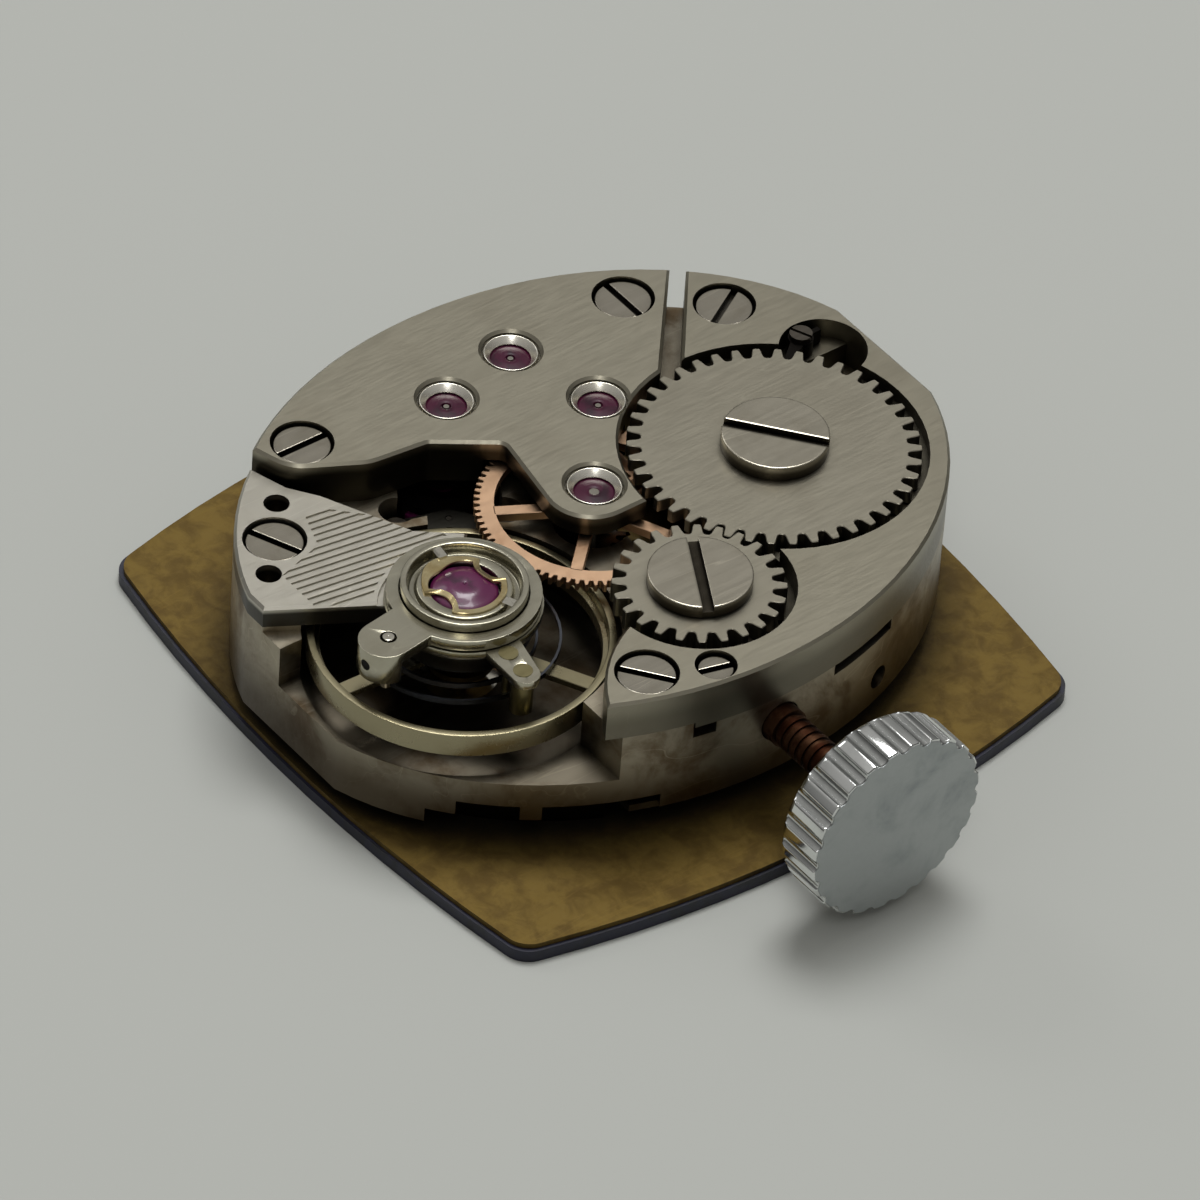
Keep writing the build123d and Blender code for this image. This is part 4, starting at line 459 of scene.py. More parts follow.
# %% The two materials that aren't metal
def glossy(name, colour, edge_colour, roughness, coat=1.0, specular=0.5):
    """A clouded colour under a clear coat."""
    material, tree, shader = new_material(name, Roughness=roughness, Specular_IOR_Level=specular,
                                          Coat_Weight=coat, Coat_Roughness=0.03)
    clouds = add(tree, "ShaderNodeGroup", [("Scale", 2200.0)], node_tree=cloud_group)
    tree.links.new(blended(tree, clouds.outputs["Mask"], linear(*colour), edge_colour),
                   shader.inputs["Base Color"])
    return material


ruby = glossy("ruby", (88, 20, 66), (50, 10, 38), 0.28, coat=0.35)
# Painted shade: a darker, hardly coated copy of the ruby for the train's deep-set stones.
shaded_ruby = glossy("shaded ruby", (62, 10, 38), (38, 7, 25), 0.36, coat=0.10, specular=0.22)
dial_paint = glossy("dark dial edge", (15, 17, 40), (9, 10, 22), 0.50, coat=0.0)
print("materials:", len(bpy.data.materials))

# %% [markdown]
# ## Keeping the CAD plates
# The plates' shapes are right, so they stay, and nothing is modelled twice. Modifiers join their loose
# triangles and shade the round walls smoothly. Two small parts near the eye also get edges that are rounded by
# a hair, so that they catch the light.

# %% Smooth shading for a CAD node, by the angle between its faces
even_shading = bpy.data.node_groups.new("Even shading", "GeometryNodeTree")
even_shading.interface.new_socket("Geometry", in_out="INPUT", socket_type="NodeSocketGeometry")
even_shading.interface.new_socket("Geometry", in_out="OUTPUT", socket_type="NodeSocketGeometry")
given = even_shading.nodes.new("NodeGroupInput")
result = even_shading.nodes.new("NodeGroupOutput")
angle = even_shading.nodes.new("GeometryNodeInputMeshEdgeAngle")
GENTLE_BEND = math.radians(28)
gentle = add(even_shading, "FunctionNodeCompare", [(0, angle.outputs["Unsigned Angle"]), (1, GENTLE_BEND)],
             operation="LESS_EQUAL")
edges = add(even_shading, "GeometryNodeSetShadeSmooth",
            [("Geometry", given.outputs[0]), ("Shade Smooth", gentle.outputs[0])], domain="EDGE")
faces = add(even_shading, "GeometryNodeSetShadeSmooth", [("Geometry", edges.outputs[0])], domain="FACE")
even_shading.links.new(faces.outputs[0], result.inputs[0])


def dress(names, material, bevel=0.0):
    """Gives CAD nodes a material, and softens their edges with live modifiers."""
    for name in names:
        node = nodes[name]
        for index in range(len(node.material_slots)):
            node.material_slots[index].material = material
        weld = node.modifiers.new("Join triangles", "WELD")
        weld.merge_threshold = JOIN
        if bevel:
            flat = node.modifiers.new("Join flat faces", "DECIMATE")
            flat.decimate_type = "DISSOLVE"
            flat.angle_limit = math.radians(0.3)
            soft = node.modifiers.new("Soften edges", "BEVEL")
            soft.width = bevel * MM
            soft.segments = 2
            soft.limit_method = "ANGLE"
            soft.angle_limit = math.radians(30)
        shade = node.modifiers.new("Even shading", "NODES")
        shade.node_group = even_shading
        if bevel:
            flats = node.modifiers.new("Keep flats flat", "WEIGHTED_NORMAL")
            flats.keep_sharp = True


dress(["train_bridge"], bridge_nickel)
dress(["barrel_bridge"], barrel_nickel)
dress(["balance_cock", "pallet_bridge"], cock_nickel)
dress(["main_plate"], plate_nickel)
dress(["regulator", "stud_carrier"], shock_nickel, bevel=0.02)
dress(["dial_back"], dial_brass)
dress(["dial_face"], dial_paint)
dress(["curb_pins"], curb_brass)
# Painted shade: the click and the stud screw are painted near black, as they lie in deep shade.
dress(["click", "stud_screw"], shade_black_steel)
dress(["barrel_drum", "barrel_cover", "roller", "hairspring_collet", "minute_wheel",
       "hour_wheel", "setting_wheel"], brass)
dress(["third_wheel", "fourth_wheel"], rose_gilt)
dress(["centre_arbor", "third_arbor", "fourth_arbor", "escape_arbor"], arbor_steel)
dress(["barrel_arbor", "escape_wheel", "pallet_fork", "balance_staff", "winding_pinion", "sliding_pinion",
       "setting_lever", "yoke", "keyless_cover", "cannon_pinion", "small_screws"], dark_steel)
dress(["mainspring", "click_spring", "yoke_spring", "hairspring"], spring_steel)
dress(["lower_jewels", "pallet_stones", "impulse_jewel"], ruby)
dress(["lower_shock_block"], bright_metal)
dress(["winding_stem"], rusty)
print("dressed CAD nodes:", sum(1 for node in nodes.values() if node.modifiers))

# %% [markdown]
# ## Turned parts
# Jewel settings, the shock block and the balance rim are turned on a lathe. In numpy that is one profile of
# radius and height, carried round an axis. Real edges are never quite sharp, so each corner is rounded in the
# profile itself, which is neater than a bevel laid on the finished mesh.


# %% A profile with soft corners, and a lathe
def softened(profile, cut):
    """Each corner becomes a short curve: it leaves the corner's sides at the cut, through a point a quarter of
    the way to the corner (a parabola). Sides shorter than two cuts are cut at their middle."""
    corner = np.asarray(profile, float)
    before, after = np.roll(corner, 1, 0) - corner, np.roll(corner, -1, 0) - corner
    size_before = np.linalg.norm(before, axis=1, keepdims=True) + 1e-12
    size_after = np.linalg.norm(after, axis=1, keepdims=True) + 1e-12
    first = corner + before * np.minimum(cut / size_before, 0.5)
    last = corner + after * np.minimum(cut / size_after, 0.5)
    step = np.linspace(0, 1, 4)[None, :, None]
    curve = (first[:, None] * (1 - step) ** 2 + 2 * corner[:, None] * step * (1 - step)
             + last[:, None] * step ** 2)
    return curve.reshape(-1, 2)


def turned(name, profile, place, cut=0.02, steps=128):
    """A closed profile of (radius, height) carried once round the upright axis at place, all in millimetres."""
    profile = softened(profile, cut)
    profile[:, 0] = np.maximum(profile[:, 0], 0)
    turn = np.linspace(0, 2 * np.pi, steps, endpoint=False)
    return surface(name, around(place, profile[:, :1], turn, profile[:, 1:]) * MM)


def joined(name, parts):
    """Several pieces of one material made one object."""
    work = bmesh.new()
    for part in parts:
        work.from_mesh(part.data)
    mesh = bpy.data.meshes.new(name)
    work.to_mesh(mesh)
    work.free()
    mesh.set_sharp_from_angle(angle=CREASE)
    for part in parts:
        bpy.data.objects.remove(part)
    return new_object(name, mesh)


# %% Jewel settings: a bright dished ring round each ruby, and the domed rubies
GROOVE_DEPTH, RUBY_LIP, PIVOT_HOLE, PIVOT_DEPTH = 0.14, 0.045, 0.09, 0.06
settings = islands("jewel_settings")
rubies = islands("train_jewels")
rings, stones = [], []
for ring, stone in zip(settings, rubies):
    outer, low, top = ring["radius"], ring["low"], ring["high"]
    inner, ruby_top, ruby_low = stone["radius"], stone["high"], stone["low"]
    lip = inner - RUBY_LIP
    rings.append(turned("ring", [
        (inner, low), (outer, low), (outer, top - GROOVE_DEPTH),                    # up the outside
        (outer - 0.045, top - 0.13), (outer - 0.055, top - 0.035),                  # the dark groove
        (outer - 0.075, top - 0.03), (lip, ruby_top + 0.022),                       # the dish
        (lip, ruby_top + 0.01), (inner, ruby_top)], ring["place"], cut=0.012))      # the lip over the ruby
    stones.append(turned("stone", [
        (0.0, ruby_low), (inner, ruby_low), (inner, ruby_top - 0.04),
        (inner * 0.8, ruby_top - 0.005), (inner * 0.4, ruby_top + 0.02),            # the dome
        (PIVOT_HOLE + 0.01, ruby_top + 0.01), (PIVOT_HOLE, ruby_top - PIVOT_DEPTH),
        (0.0, ruby_top - PIVOT_DEPTH)], stone["place"]))
finish_piece(joined("setting_rings", rings), setting_metal, "movement", "jewel_settings")
finish_piece(joined("train_rubies", stones), shaded_ruby, "movement", "train_jewels")
print("jewels:", len(settings))

# %% [markdown]
# ## The shock setting
# The balance turns in a jewel that can give way in a shock. From above it is a bright dished block, a domed
# cap jewel that shows deep purple, and the gilt lyre spring that holds it down under two lugs of the block.

# %% The dished block and its cap jewel
balance = middle("balance_staff")
block_low, block_top = levels("upper_shock_block")
jewel_low, jewel_top = levels("upper_cap_jewel")
spring_low = levels("upper_shock_spring")[0]
block_out, jewel_out = reach_of("upper_shock_block", balance), reach_of("upper_cap_jewel", balance)
cock_top = levels("balance_cock")[1]
BLOCK_BORE, BLOCK_FOOT, MOAT_DEPTH, JEWEL_GAP = 0.18, 0.80, 0.26, 0.04
moat, seat = block_top - MOAT_DEPTH, jewel_out + JEWEL_GAP
shock_block = turned("shock_block", [
    (BLOCK_BORE, block_low), (BLOCK_FOOT, block_low), (BLOCK_FOOT, cock_top), (block_out, cock_top),
    (block_out, block_top), (block_out - 0.13, block_top),                          # the outside and the rim
    (block_out - 0.18, moat), (block_out - 0.30, moat), (block_out - 0.33, spring_low),     # the moat
    (seat, spring_low), (seat, jewel_low), (BLOCK_BORE, jewel_low)], balance, cut=0.025)    # the jewel's seat
finish_piece(shock_block, shock_nickel, "movement", "upper_shock_block")
shock_jewel = turned("shock_jewel", [
    (0.0, jewel_low), (jewel_out, jewel_low), (jewel_out, jewel_top - 0.15),
    (jewel_out - 0.14, jewel_top - 0.10), (0.34, jewel_top - 0.005), (0.0, jewel_top)], balance, cut=0.09)
finish_piece(shock_jewel, ruby, "movement", "upper_cap_jewel")
print("shock block radius", round(block_out, 2), "cap jewel radius", round(jewel_out, 2))

# %% The hairspring stud: a bright pin with a dark gap round it
stud_place = middle("stud")
stud_low, stud_top = levels("stud")
stud_out = reach_of("stud", stud_place)
STUD_GAP = 0.045
pin = stud_out - STUD_GAP
stud = turned("stud_pin", [(0.0, stud_low), (pin, stud_low), (pin, stud_top), (0.0, stud_top)], stud_place,
              steps=48)
finish_piece(stud, bright_metal, "stud_carrier_body", "stud")
print("stud radius", round(stud_out, 2))

# %% [markdown]
# ## The balance wheel
# A smooth rim with an inner step, and three flat arms. The step is a second, lower ring, so the profile has
# two levels. The arms could be three bars pushed into each other, but one flat star has no hidden overlaps.


# %% A flat star of arms, and the balance wheel
def star_line(place, hub, half_width, reach, arms, turn):
    """Round the centre: each arm is a bar of that half width out to the reach, and the hub's arc joins them."""
    root = math.sqrt(hub ** 2 - half_width ** 2)
    points = []
    for arm in range(arms):
        bearing = math.radians(turn) + arm * 2 * math.pi / arms
        along, across = ray(bearing)
        points += [along * a + across * b for a, b in
                   ((root, -half_width), (reach, -half_width), (reach, half_width), (root, half_width))]
        edge = math.asin(half_width / hub)
        for step in np.linspace(bearing + edge, bearing + 2 * math.pi / arms - edge, 8)[1:-1]:
            points.append(hub * ray(step)[0])
    return np.array(points) + place


def row_of(line, height, inset=0.0):
    """The line at a height, each point moved inwards along its normal by the inset."""
    along = np.roll(line, -1, 0) - np.roll(line, 1, 0)
    inward = np.stack([-along[:, 1], along[:, 0]], -1) / np.linalg.norm(along, axis=1, keepdims=True)
    return np.column_stack([line + inward * inset, np.full(len(line), height)])


def circle_row(line, place, radius, height):
    """A circle whose points stand at the same bearings as the line's points."""
    return around(place, radius, np.arctan2(line[:, 1] - place[1], line[:, 0] - place[0]), height)


def flat_star(name, place, line, low, high, bevel=0.012):
    """Rows of the line: the centre, the lower edge, the upper edge, the bevel and the centre again."""
    rows = [circle_row(line, place, 0, low), row_of(line, low), row_of(line, high - bevel),
            row_of(line, high, bevel), circle_row(line, place, 0, high)]
    return surface(name, np.stack(rows) * MM, closed_rows=False)


wheel_low, wheel_high = levels("balance_wheel")
rim_out = reach_of("balance_wheel", balance)
RIM, LEDGE, STEP_DOWN = 0.28, 0.12, 0.27
ARMS, ARM_HUB, ARM_HALF, ARM_TURN, ARM_LOW, ARM_HIGH = 3, 0.36, 0.18, 28, 0.22, 0.36
rim_in = rim_out - RIM
rim = turned("rim", [(rim_in, wheel_low), (rim_out, wheel_low), (rim_out, wheel_high),
                     (rim_in + LEDGE, wheel_high), (rim_in + LEDGE, wheel_high - STEP_DOWN),
                     (rim_in, wheel_high - STEP_DOWN)], balance, cut=0.025, steps=220)
arms = flat_star("arms", balance, star_line(balance, ARM_HUB, ARM_HALF, rim_in + 0.04, ARMS, ARM_TURN),
                 wheel_low + ARM_LOW, wheel_low + ARM_HIGH)
finish_piece(joined("balance_rim_and_arms", [rim, arms]), balance_brass, "balance_body", "balance_wheel")
print("balance rim radius", round(rim_out, 2))

# %% [markdown]
# ## The lyre spring
# The band follows a circle, and twice it bends inwards round a loop. It could be a curve drawn by hand, but on
# a loop the radius at a bearing is where the ray from the axis first meets the loop's circle, so both edges of
# the band come from one formula.


# %% The lyre spring and the two lugs that hold it
def lyre_edge(bearing, ring, loop, reach, loops):
    """r = min(ring, c cos f - sqrt(a^2 - (c sin f)^2)), with a the loop's radius, c the reach to its centre and
    f the angle from the bearing to the loop's."""
    radius = ring
    for middle_bearing in loops:
        off = (bearing - middle_bearing + np.pi) % (2 * np.pi) - np.pi
        inside = loop ** 2 - (reach * np.sin(off)) ** 2
        near = reach * np.cos(off) - np.sqrt(np.maximum(inside, 0))
        radius = np.where((inside > 0) & (np.abs(off) < np.pi / 2), np.minimum(radius, near), radius)
    return radius


LYRE, LYRE_HALF, LOOP, LOOP_REACH = 0.80, 0.065, 0.51, 1.01
LYRE_WIDER, WIDER_AT, WIDER_SPREAD = 0.10, math.radians(192), 0.45
BAND, SOFT, DOME_RISE, DOME_EDGE, DOME_SLOPE = 0.05, 0.012, 0.06, 0.60, 0.17
loops = [math.radians(96), math.radians(-80)]
bearing = np.linspace(0, 2 * np.pi, 360, endpoint=False)
wide = LYRE_WIDER * np.exp(-(((bearing - WIDER_AT) / WIDER_SPREAD) ** 2))
outer_edge = lyre_edge(bearing, LYRE + LYRE_HALF + wide, LOOP - LYRE_HALF, LOOP_REACH, loops)
inner_edge = lyre_edge(bearing, LYRE - LYRE_HALF - wide, LOOP + LYRE_HALF, LOOP_REACH, loops)


def lyre_row(radius, lift):
    """The band climbs over the domed jewel towards the axis."""
    climb = DOME_RISE * np.clip((DOME_EDGE - radius) / DOME_SLOPE, 0, 1)
    return around(balance, radius, bearing, spring_low + lift + climb)


lyre = surface("lyre_band", np.stack([
    lyre_row(inner_edge, 0.0), lyre_row(outer_edge, 0.0), lyre_row(outer_edge, BAND - SOFT),
    lyre_row(outer_edge - SOFT, BAND), lyre_row(inner_edge + SOFT, BAND),
    lyre_row(inner_edge, BAND - SOFT)]) * MM)
finish_piece(lyre, gilt, "movement", "upper_shock_spring")
LUG_REACH, LUG_LONG, LUG_WIDE, LUG_CUT, LUG_DEEP = 1.04, 0.15, 0.11, 0.03, 0.25
corner = np.array([(-LUG_LONG, LUG_CUT - LUG_WIDE), (LUG_CUT - LUG_LONG, -LUG_WIDE),
                   (LUG_LONG - LUG_CUT, -LUG_WIDE), (LUG_LONG, LUG_CUT - LUG_WIDE)])
lugs = []
for turn in (172, 24):
    along, across = ray(math.radians(turn))
    place = balance + along * LUG_REACH
    line = np.array([place + along * a + across * b for a, b in np.vstack([corner, -corner])])
    lugs.append(flat_star("lug", place, line, block_top - LUG_DEEP, block_top - 0.005, bevel=0.04))
finish_piece(joined("lyre_lugs", lugs), bright_metal, "movement", "upper_shock_block")
print("lyre reaches in to", round(inner_edge.min(), 2))

# %% [markdown]
# ## Toothed wheels
# A wheel is one line round its teeth, set down again and again: at the bottom, at the top edge, a hair further
# in for the bevel, and last as a circle round its bore. Each copy is a row of the grid. The teeth of the CAD
# wheels are right too, but plain and sharp, and these have the rounded roots and bevelled edges that shine.

# %% The line round the teeth
TOOTH = np.array([(0.00, 1.00), (0.26, 1.00), (0.35, 0.93), (0.45, 0.64), (0.56, 0.24), (0.68, 0.06),
                  (0.82, 0.00), (1.00, 0.00)])


def tooth_line(teeth, root, tip, turn, place):
    """A point stands at share s of half a pitch from its tooth's middle, at radius root + h (tip - root)."""
    share = np.concatenate([-TOOTH[:0:-1, 0], TOOTH[:-1, 0]])
    rise = np.concatenate([TOOTH[:0:-1, 1], TOOTH[:-1, 1]])
    bearing = (turn + (np.arange(teeth)[:, None] * 2 + share[None]) * np.pi / teeth).ravel()
    return around(place, np.tile(root + rise * (tip - root), teeth), bearing, 0.0)[:, :2]


ADDENDUM, DEDENDUM = 0.8, 1.3      # how far tips and roots stand from the pitch circle, in modules
RATCHET_TEETH, RATCHET_BORE, CROWN_WHEEL_TEETH, CROWN_WHEEL_BORE, CENTRE_TEETH = 42, 0.45, 24, 0.66, 80


def toothed_wheel(name, node, teeth, place, bore, bevel=0.014):
    """Tip radius, levels and turn come from the CAD node. The rows run from the bore out below, and back in
    above."""
    low, high = levels(node)
    tip = reach_of(node, place)
    module = tip / (teeth / 2 + ADDENDUM)
    line = tooth_line(teeth, module * (teeth / 2 - DEDENDUM), tip, tooth_turn(node, teeth, place), place)
    rows = [circle_row(line, place, bore, low), row_of(line, low, bevel), row_of(line, low + bevel),
            row_of(line, high - bevel), row_of(line, high, bevel), circle_row(line, place, bore, high)]
    return surface(name, np.stack(rows) * MM)


ratchet = toothed_wheel("ratchet_teeth", "ratchet_wheel", RATCHET_TEETH, middle("barrel_arbor"), RATCHET_BORE)
finish_piece(ratchet, wheel_steel, "ratchet", "ratchet_wheel")
crown_wheel = toothed_wheel("crown_wheel_teeth", "crown_wheel", CROWN_WHEEL_TEETH, middle("crown_wheel"),
                            CROWN_WHEEL_BORE)
finish_piece(crown_wheel, wheel_steel, "crown_wheel_body", "crown_wheel")
print("toothed wheels:", ratchet.name, crown_wheel.name)

# %% The centre wheel: a thin toothed rim on five arms
centre = middle("centre_arbor")
low, high = levels("centre_wheel")
CENTRE_RIM, CENTRE_HUB, CENTRE_ARM, CENTRE_ARMS, CENTRE_TURN = 0.42, 0.50, 0.13, 5, -47
rim_in = reach_of("centre_wheel", centre) - CENTRE_RIM
toothed_rim = toothed_wheel("toothed_rim", "centre_wheel", CENTRE_TEETH, centre, rim_in, bevel=0.01)
star = star_line(centre, CENTRE_HUB, CENTRE_ARM, rim_in + 0.02, CENTRE_ARMS, CENTRE_TURN)
centre_arms = flat_star("centre_arms", centre, star, low, high)
finish_piece(joined("centre_rim_and_arms", [toothed_rim, centre_arms]), rose_gilt, "centre", "centre_wheel")
print("centre wheel rim, inside radius", round(rim_in, 3))

# %% [markdown]
# ## Screw heads
# A slotted head is a disc with a groove. The groove could be cut with a boolean, but that leaves long thin
# faces that shade badly. On a grid of chords across the slot, two columns of points stand at each slot wall, so
# the wall stays crisp while the rest of the disc stays smooth.


# %% A slotted screw head
SLOT_DEPTH = 0.14


def slotted_head(place, radius, low, high, slot_width, bearing, cut=0.03):
    """Columns are chords at x = R cos t, with extra ones at the slot's walls. On a chord y = s sqrt(R^2 - x^2).
    The height is the top, less the slot's depth between the walls, less a rounded fall near the rim."""
    half = slot_width / 2
    arc = np.cos(np.linspace(np.pi, 0, 61)) * radius
    outside = arc[np.abs(arc) > half * 1.2]
    walls = np.array([-half - cut / 3, -half, -half, half, half, half + cut / 3])
    x = np.concatenate([outside, walls])
    deep = np.concatenate([0 * outside, [0, 0, 1, 1, 0, 0]])
    order = np.lexsort((np.where(x < 0, deep, -deep), x))
    x, deep = x[order], deep[order]
    s = np.sin(np.linspace(-np.pi / 2, np.pi / 2, 49))
    s = np.concatenate([[0, -1], s, [1, 0]])
    chord = np.sqrt(np.maximum(radius ** 2 - x ** 2, 0))
    grid_x = np.repeat(x[:, None], len(s), 1)
    grid_y = chord[:, None] * s[None, :]
    from_rim = radius - np.hypot(grid_x, grid_y)
    crown = high - cut * (1 - np.sqrt(1 - (1 - np.clip(from_rim / cut, 0, 1)) ** 2))
    height = np.where(deep[:, None] > 0, np.minimum(crown, high - SLOT_DEPTH), crown)
    at_wall = (np.abs(np.abs(x) - half) < 1e-9) & (deep < 1)
    height = np.where(at_wall[:, None], crown - cut / 6, height)
    height[:, [0, 1, -2, -1]] = low
    points = np.stack([place[0] + grid_y * math.cos(bearing) - grid_x * math.sin(bearing),
                       place[1] + grid_y * math.sin(bearing) + grid_x * math.cos(bearing), height], -1)
    return surface("head", points * MM, closed_rows=False)


def slot_bearing(solid):
    """The corners of a slot's floor spread most along the slot."""
    corners = solid["points"]
    floor = solid["high"] - SLOT_DEPTH
    ends = corners[np.abs(corners[:, 2] - floor) < 2e-3][:, :2] - solid["place"]
    along = np.linalg.eigh(ends.T @ ends)[1][:, 1]
    return math.atan2(along[1], along[0])


def screw(solid, slot_width, head_height):
    """A head and its plain shank, both in the places of the CAD solid."""
    place, bottom, top = solid["place"], solid["low"], solid["high"]
    reach = np.hypot(*(solid["points"][:, :2] - place).T)
    shank = reach[solid["points"][:, 2] < bottom + 1e-3].max()
    head_low = top - head_height
    return [slotted_head(place, solid["radius"], head_low, top, slot_width, slot_bearing(solid)),
            turned("shank", [(0, bottom), (shank, bottom), (shank, head_low), (0, head_low)], place, steps=32)]


for name, node, body, steel, slot_width, head_height in (
        ("bridge_screw_set", "bridge_screws", "movement", screw_steel, 0.15, 0.34),
        ("lever_screw_head", "setting_lever_screw", "movement", screw_steel, 0.14, 0.34),
        ("ratchet_screw_head", "ratchet_screw", "ratchet", head_steel, 0.24, 0.35),
        ("crown_wheel_screw_head", "crown_wheel_screw", "movement", head_steel, 0.24, 0.28)):
    solids = islands(node)
    finish_piece(joined(name, [part for solid in solids for part in screw(solid, slot_width, head_height)]),
                 steel, body, node)
    print(name, "heads:", len(solids))

# %% [markdown]
# ## The crown
# The crown lies on its side, so it is turned about the stem's axis. Its outline is a circle with 24 small
# round flutes cut in. Each row keeps the smaller of the profile's radius and the fluted one, which cuts the
# flutes clean through the rounded back edge, with no cutting tool and no stray faces.


# %% The fluted crown and its satin end face
FLUTES, FLUTE, DEPTH, EASE, EASE_SPREAD = 24, 0.16, 0.11, 0.014, 0.008
NECK, NECK_LENGTH, DOME, FRONT_INSET = 0.95, 0.45, 0.22, 0.02


def fluted(bearing, count, radius, flute, reach):
    """r = min(R, c cos f - sqrt(a^2 - (c sin f)^2)), with f the angle to the nearest flute, a its radius and c
    the distance of its centre. The corners beside a flute are eased by a hair."""
    pitch = 2 * np.pi / count
    off = np.abs((bearing + pitch / 2) % pitch - pitch / 2)
    inside = flute ** 2 - (reach * np.sin(off)) ** 2
    near = reach * np.cos(off) - np.sqrt(np.maximum(inside, 0))
    corner = np.arccos((radius ** 2 + reach ** 2 - flute ** 2) / (2 * radius * reach))
    ease = EASE * np.exp(-((off - corner) / EASE_SPREAD) ** 2)
    return np.where(inside > 0, np.minimum(radius, near), radius) - ease, corner


crown_low, crown_high = (np.array(corner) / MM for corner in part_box("crown"))
crown_out = (crown_high[1] - crown_low[1]) / 2
axis_y, axis_z = (crown_high[1] + crown_low[1]) / 2, (crown_high[2] + crown_low[2]) / 2
flute_centre = crown_out + FLUTE - DEPTH
corner = fluted(np.zeros(1), FLUTES, crown_out, FLUTE, flute_centre)[1]
half = np.array([0, 0.018, 0.034, 0.047, 0.058, 0.066])
off = np.concatenate([half, [corner - 0.001, corner + 0.006, corner + 0.014, corner + 0.03]])
off = np.concatenate([-off[:0:-1], off, [np.pi / FLUTES]])
bearing = (np.arange(FLUTES)[:, None] * 2 * np.pi / FLUTES + off[None]).ravel()
limit = fluted(bearing, FLUTES, crown_out, FLUTE, flute_centre)[0]
back_x, neck_x, front_x = crown_low[0] + NECK_LENGTH, crown_low[0], crown_high[0]
quarter = np.linspace(0, np.pi / 2, 9)
profile = [(neck_x, 0.0), (neck_x, NECK - 0.03), (neck_x + 0.03, NECK), (back_x, NECK), (back_x, NECK + 0.01)]
profile += [(back_x + DOME * (1 - math.cos(t)), crown_out - DOME * (1 - math.sin(t))) for t in quarter]
profile += [(front_x - 0.06, crown_out), (front_x - 0.035, crown_out - 0.008),
            (front_x - 0.02, crown_out - 0.03), (front_x - 0.012, crown_out - 0.06), (front_x - 0.012, 0.0)]


def crown_rows(profile):
    """One row for each (x, radius) of the profile. The rows at the front edge stay a hair inside the flutes."""
    x, radius = np.array(profile).T[:, :, None]
    kept = np.minimum(radius, limit - FRONT_INSET * (x > front_x - 0.03))
    y, z = axis_y + kept * np.sin(bearing), axis_z + kept * np.cos(bearing)
    return np.stack(np.broadcast_arrays(x, y, z), -1) * MM


crown_body = surface("crown_flutes", crown_rows(profile), closed_rows=False)
finish_piece(crown_body, chrome, "stem_body", "crown")
crown_face = surface("crown_face", crown_rows([
    (front_x - 0.02, 0.0), (front_x - 0.02, crown_out - 0.05), (front_x - 0.010, crown_out - 0.05),
    (front_x, crown_out - 0.06), (front_x, 0.0)]), closed_rows=False)
finish_piece(crown_face, crown_satin, "stem_body", "crown")
print("crown radius", round(crown_out, 2), "faces", len(crown_body.data.polygons))

# %% [markdown]
# ## The camera
# The photograph was taken from the crown's side, 42 degrees above the table, with a long lens. The angles were
# found by fitting the centres of the wheels, the crown and the corners of the dial.

# %% The camera, at the photograph's angle
AZIMUTH, ELEVATION, ROLL = math.radians(49.744), math.radians(41.738), math.radians(4.287)
DISTANCE, LENS, SENSOR = 217.75, 318.88, 36.0
SHIFT_RIGHT, SHIFT_UP, TARGET_HEIGHT = 0.240, -0.613, 1.836
back = np.array([math.sin(AZIMUTH) * math.cos(ELEVATION), -math.cos(AZIMUTH) * math.cos(ELEVATION),
                 math.sin(ELEVATION)])
level = np.array([math.cos(AZIMUTH), math.sin(AZIMUTH), 0.0])
upward = np.cross(back, level)
right = level * math.cos(ROLL) + upward * math.sin(ROLL)
above = -level * math.sin(ROLL) + upward * math.cos(ROLL)
target = np.array([0, 0, TARGET_HEIGHT]) + SHIFT_RIGHT * right + SHIFT_UP * above
camera_data = bpy.data.cameras.new("camera")
camera_data.lens, camera_data.sensor_width = LENS, SENSOR
camera_data.clip_start, camera_data.clip_end = 0.01, 10.0
camera = new_object("camera", camera_data)
matrix = np.eye(4)
matrix[:3, 0], matrix[:3, 1], matrix[:3, 2] = right, above, back
matrix[:3, 3] = (target + DISTANCE * back) * MM
camera.matrix_world = Matrix(matrix.tolist())
bpy.context.scene.camera = camera
print("camera at", matrix[:3, 3].round(4))

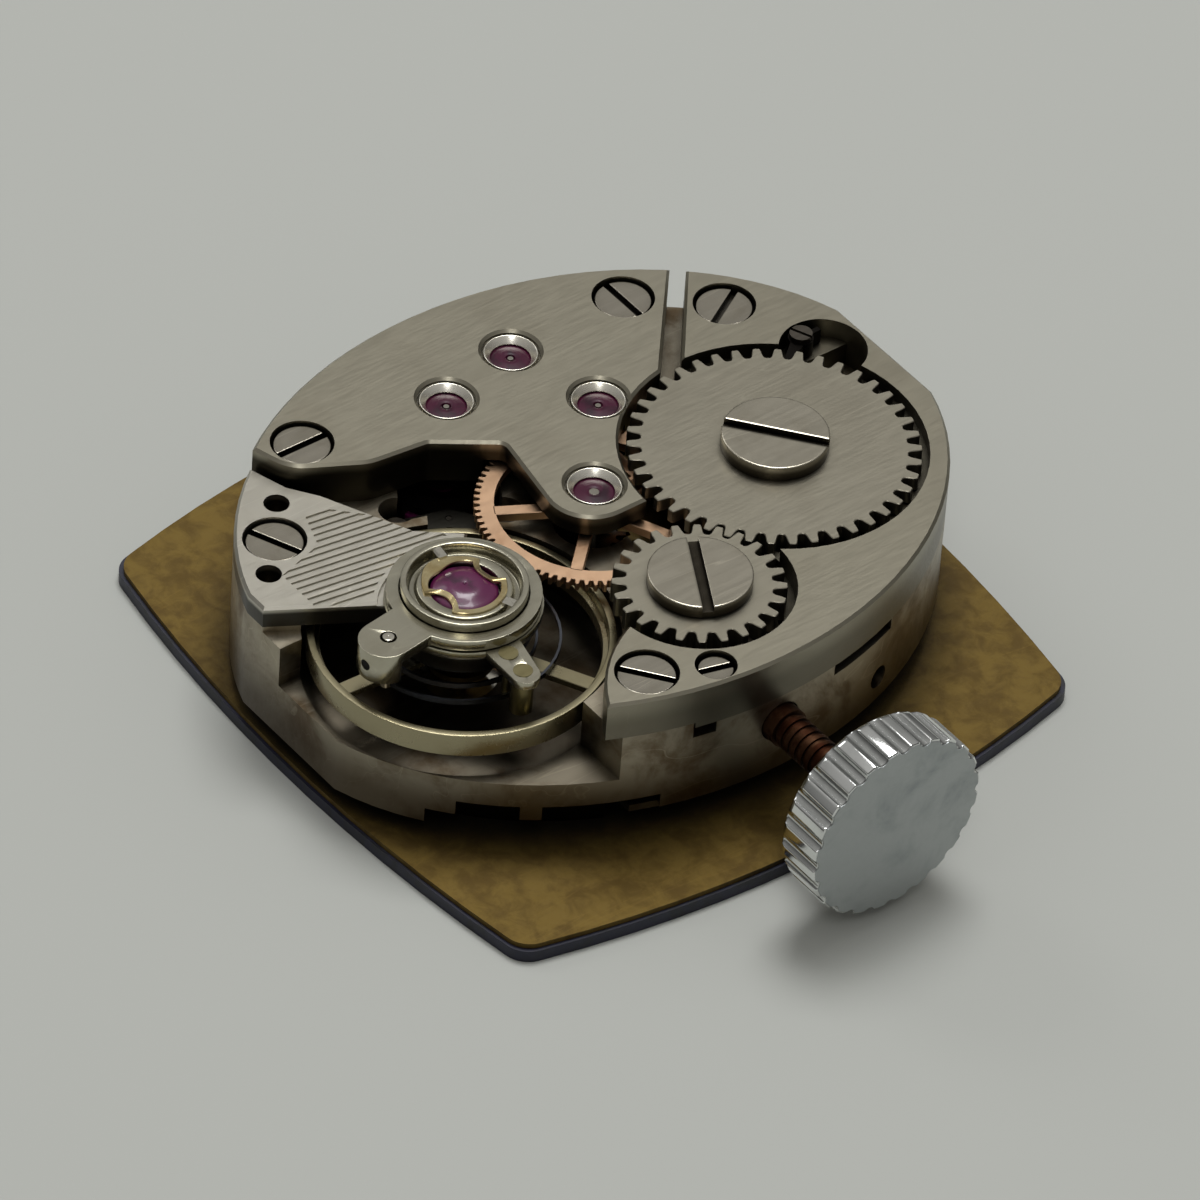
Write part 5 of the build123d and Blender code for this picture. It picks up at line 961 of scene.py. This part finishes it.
# %% [markdown]
# ## Table and light
# The movement lies on pale grey paper. A polished flat part shows what it mirrors, so the sky is brighter
# overhead than at the horizon, and no lamp stands where the flat plates would mirror it into the camera. A wide
# lamp overhead gives the soft shadows, a weak one stands at the left, and one above the camera lights the
# bevels. One small hard lamp would be simpler, but its shadows would be sharper than the photograph's.

# %% Floor, world and lamps
FLOOR_REACH, FLOOR_DROP = 2.0, -1e-5
floor_mesh = bpy.data.meshes.new("floor")
floor_mesh.from_pydata([(FLOOR_REACH * x, FLOOR_REACH * y, FLOOR_DROP)
                        for x, y in ((-1, -1), (1, -1), (1, 1), (-1, 1))], [], [(0, 1, 2, 3)])
floor = new_object("floor", floor_mesh)
floor_mesh.materials.append(new_material("floor paint", Base_Color=linear(178, 180, 175), Roughness=0.9)[0])

HORIZON, OVERHEAD, SKY_COLOUR = 0.06, 0.48, (1.0, 0.985, 0.955, 1.0)
world = bpy.data.worlds.new("studio")
bpy.context.scene.world = world
world.use_nodes = True
tree = world.node_tree
sky = tree.nodes["Background"]
direction = add(tree, "ShaderNodeTexCoord").outputs["Generated"]
height = add(tree, "ShaderNodeSeparateXYZ", [("Vector", direction)]).outputs["Z"]
sky.inputs["Color"].default_value = SKY_COLOUR
tree.links.new(map_range(tree, height, 0.0, 1.0, HORIZON, OVERHEAD), sky.inputs["Strength"])
LAMP_AIM = np.array([0.0, 0.0, 2.0])


def lamp(name, place, size, energy):
    """A soft square lamp at a place in millimetres, turned to the movement."""
    data = bpy.data.lights.new(name, "AREA")
    data.shape, data.size, data.energy = "SQUARE", size * MM, energy
    toward = np.array(place) - LAMP_AIM
    toward /= np.linalg.norm(toward)
    side = np.cross([0, 0, 1], toward)
    side /= np.linalg.norm(side)
    pose = np.eye(4)
    pose[:3, 0], pose[:3, 1], pose[:3, 2] = side, np.cross(toward, side), toward
    pose[:3, 3] = np.array(place) * MM
    new_object(name, data).matrix_world = Matrix(pose.tolist())


lamp("overhead", (-110, 110, 510), 230, 1.62)
lamp("left", (-500, -90, 380), 240, 0.35)
lamp("over the camera", (225, -190, 405), 110, 0.22)
bpy.context.scene.view_settings.view_transform = "Standard"
